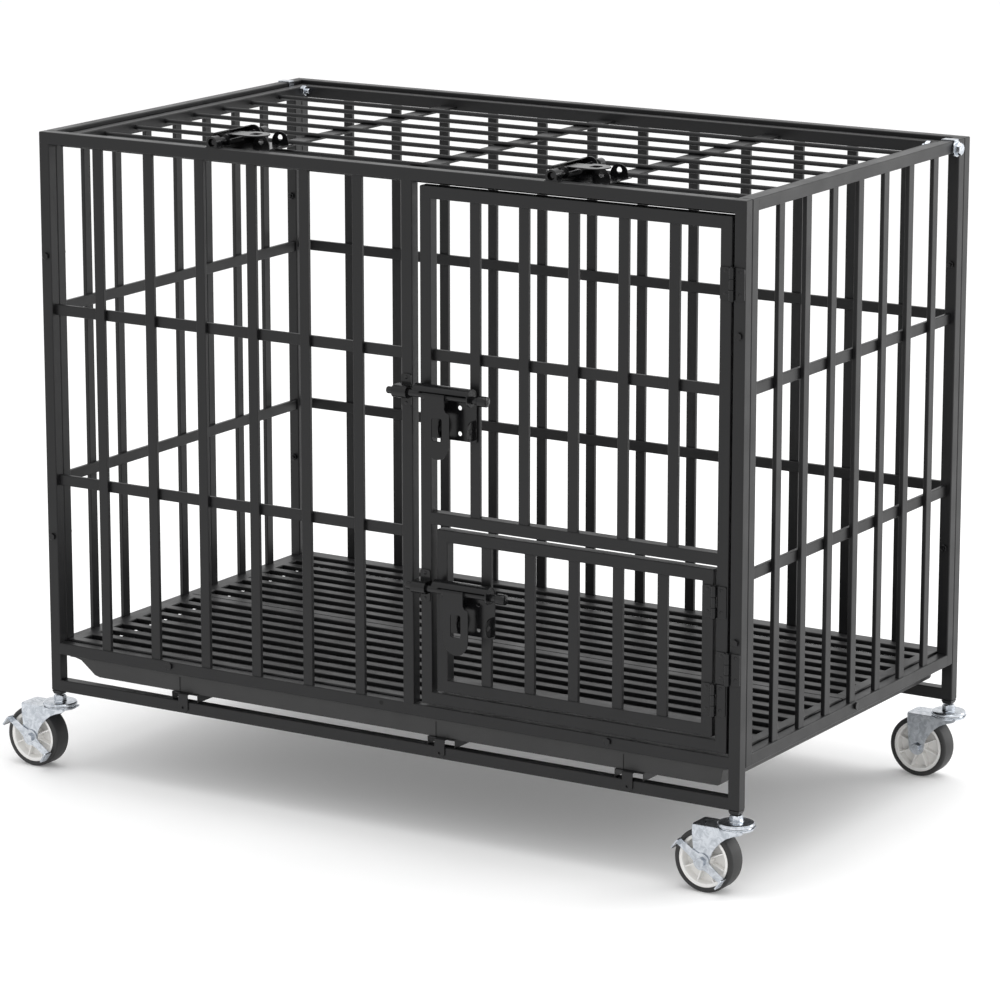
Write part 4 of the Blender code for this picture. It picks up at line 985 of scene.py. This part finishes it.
def floor_material():
    """A matt pale floor that looks white where no shadow falls."""
    material = new_material("studio_floor", (0.90, 0.90, 0.90), 0.0, 0.9, 40.0, 0.00002, 0.02)
    nodes, links = material.node_tree.nodes, material.node_tree.links
    glow = nodes.new("ShaderNodeEmission")
    glow.inputs["Color"].default_value = (1.0, 1.0, 1.0, 1.0)
    lift = nodes.new("ShaderNodeMath")
    lift.operation = "MULTIPLY"
    lift.inputs[1].default_value = FLOOR_LIFT
    links.new(seen_or_mirrored(nodes, links), lift.inputs[0])
    links.new(lift.outputs["Value"], glow.inputs["Strength"])
    both = nodes.new("ShaderNodeAddShader")
    links.new(nodes["Principled BSDF"].outputs["BSDF"], both.inputs[0])
    links.new(glow.outputs["Emission"], both.inputs[1])
    links.new(both.outputs["Shader"], nodes["Material Output"].inputs["Surface"])
    return material


def add_studio():
    """A white floor and surroundings, with a large soft light overhead and another at the right."""
    world = bpy.data.worlds.new("Studio")
    bpy.context.scene.world = world
    world.use_nodes = True
    nodes, links = world.node_tree.nodes, world.node_tree.links
    nodes.clear()
    output = nodes.new("ShaderNodeOutputWorld")
    mix = nodes.new("ShaderNodeMixShader")
    seen, around = nodes.new("ShaderNodeBackground"), nodes.new("ShaderNodeBackground")
    seen.inputs["Color"].default_value = (1.0, 1.0, 1.0, 1.0)
    seen.inputs["Strength"].default_value = 1.0
    around.inputs["Color"].default_value = (1.0, 1.0, 1.0, 1.0)
    around.inputs["Strength"].default_value = 1.0
    links.new(seen_or_mirrored(nodes, links), mix.inputs["Fac"])
    links.new(around.outputs["Background"], mix.inputs[1])
    links.new(seen.outputs["Background"], mix.inputs[2])
    links.new(mix.outputs["Shader"], output.inputs["Surface"])
    floor_mesh = boxes(((-FLOOR_HALF, -FLOOR_HALF, -0.02), (FLOOR_HALF, FLOOR_HALF, 0.0)))
    floor = bpy.data.objects.new("studio_floor", floor_mesh)
    bpy.context.scene.collection.objects.link(floor)
    floor_mesh.materials.append(floor_material())
    add_light("overhead", (0.5, 0.2, 4.2), (0.0, 0.0, 0.3), (4.0, 4.0), 80.0)
    add_light("right_side", (3.6, 3.4, 1.5), (0.5, 0.0, 0.5), (2.4, 2.4), 52.0)


def add_camera():
    camera = bpy.data.objects.new("Camera", bpy.data.cameras.new("Camera"))
    bpy.context.scene.collection.objects.link(camera)
    azimuth, elevation = math.radians(CAMERA_AZIMUTH), math.radians(CAMERA_ELEVATION)
    level_reach = math.cos(elevation)
    ahead = Vector((-math.sin(azimuth) * level_reach, math.cos(azimuth) * level_reach, -math.sin(elevation)))
    camera.location = CAMERA_PLACE
    camera.rotation_mode = "QUATERNION"
    camera.rotation_quaternion = ahead.to_track_quat("-Z", "Y")
    camera.data.lens = CAMERA_LENS
    camera.data.sensor_width = 36.0
    camera.data.clip_end = 200.0
    bpy.context.scene.camera = camera


for old in list(bpy.data.objects):
    bpy.data.objects.remove(old)
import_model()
POWDER, STEEL, ZINC_BRIGHT, ZINC_DULL = (
    (0.0075, 0.0075, 0.008),
    (0.005, 0.005, 0.0055),
    (0.60, 0.63, 0.67),
    (0.43, 0.46, 0.50),
)
M = {
    "powder_coat": new_material("powder_coat_black", POWDER, 0.0, 0.38, 1400.0, 0.00003, 0.06, 0.33),
    "black_steel": new_material("black_steel_satin", STEEL, 0.0, 0.20, 700.0, 0.00002, 0.04, 0.34),
    "zinc": new_material("zinc_plate_bright", ZINC_BRIGHT, 1.0, 0.24, 500.0, 0.00002, 0.07, 0.5, ZINC_DULL),
    "tray_plastic": new_material("tray_plastic_black", (0.018, 0.018, 0.018), 0.0, 0.50, 900.0, 0.00005),
    "black_plastic": new_material("plug_plastic_black", (0.012, 0.012, 0.012), 0.0, 0.45),
    "hub_plastic": new_material("hub_plastic_white", (0.88, 0.87, 0.85), 0.0, 0.38, 300.0, 0.00002),
    "rubber": new_material("tread_black", (0.018, 0.018, 0.018), 0.0, 0.55, 500.0, 0.00004),
    # Near-black painted shade for the inside of the spare bolt hole
    "dark": new_material("painted_hole_shade", (0.003, 0.003, 0.003), 0.0, 0.9),
}
add_cage()
add_doors()
add_lid()
add_floor_grate()
add_tray()
add_runners()
add_frame_fasteners()
add_hinges()
add_latches()
add_lid_pivots()
add_casters()
add_studio()
add_camera()
bpy.context.scene.view_settings.view_transform = "Standard"
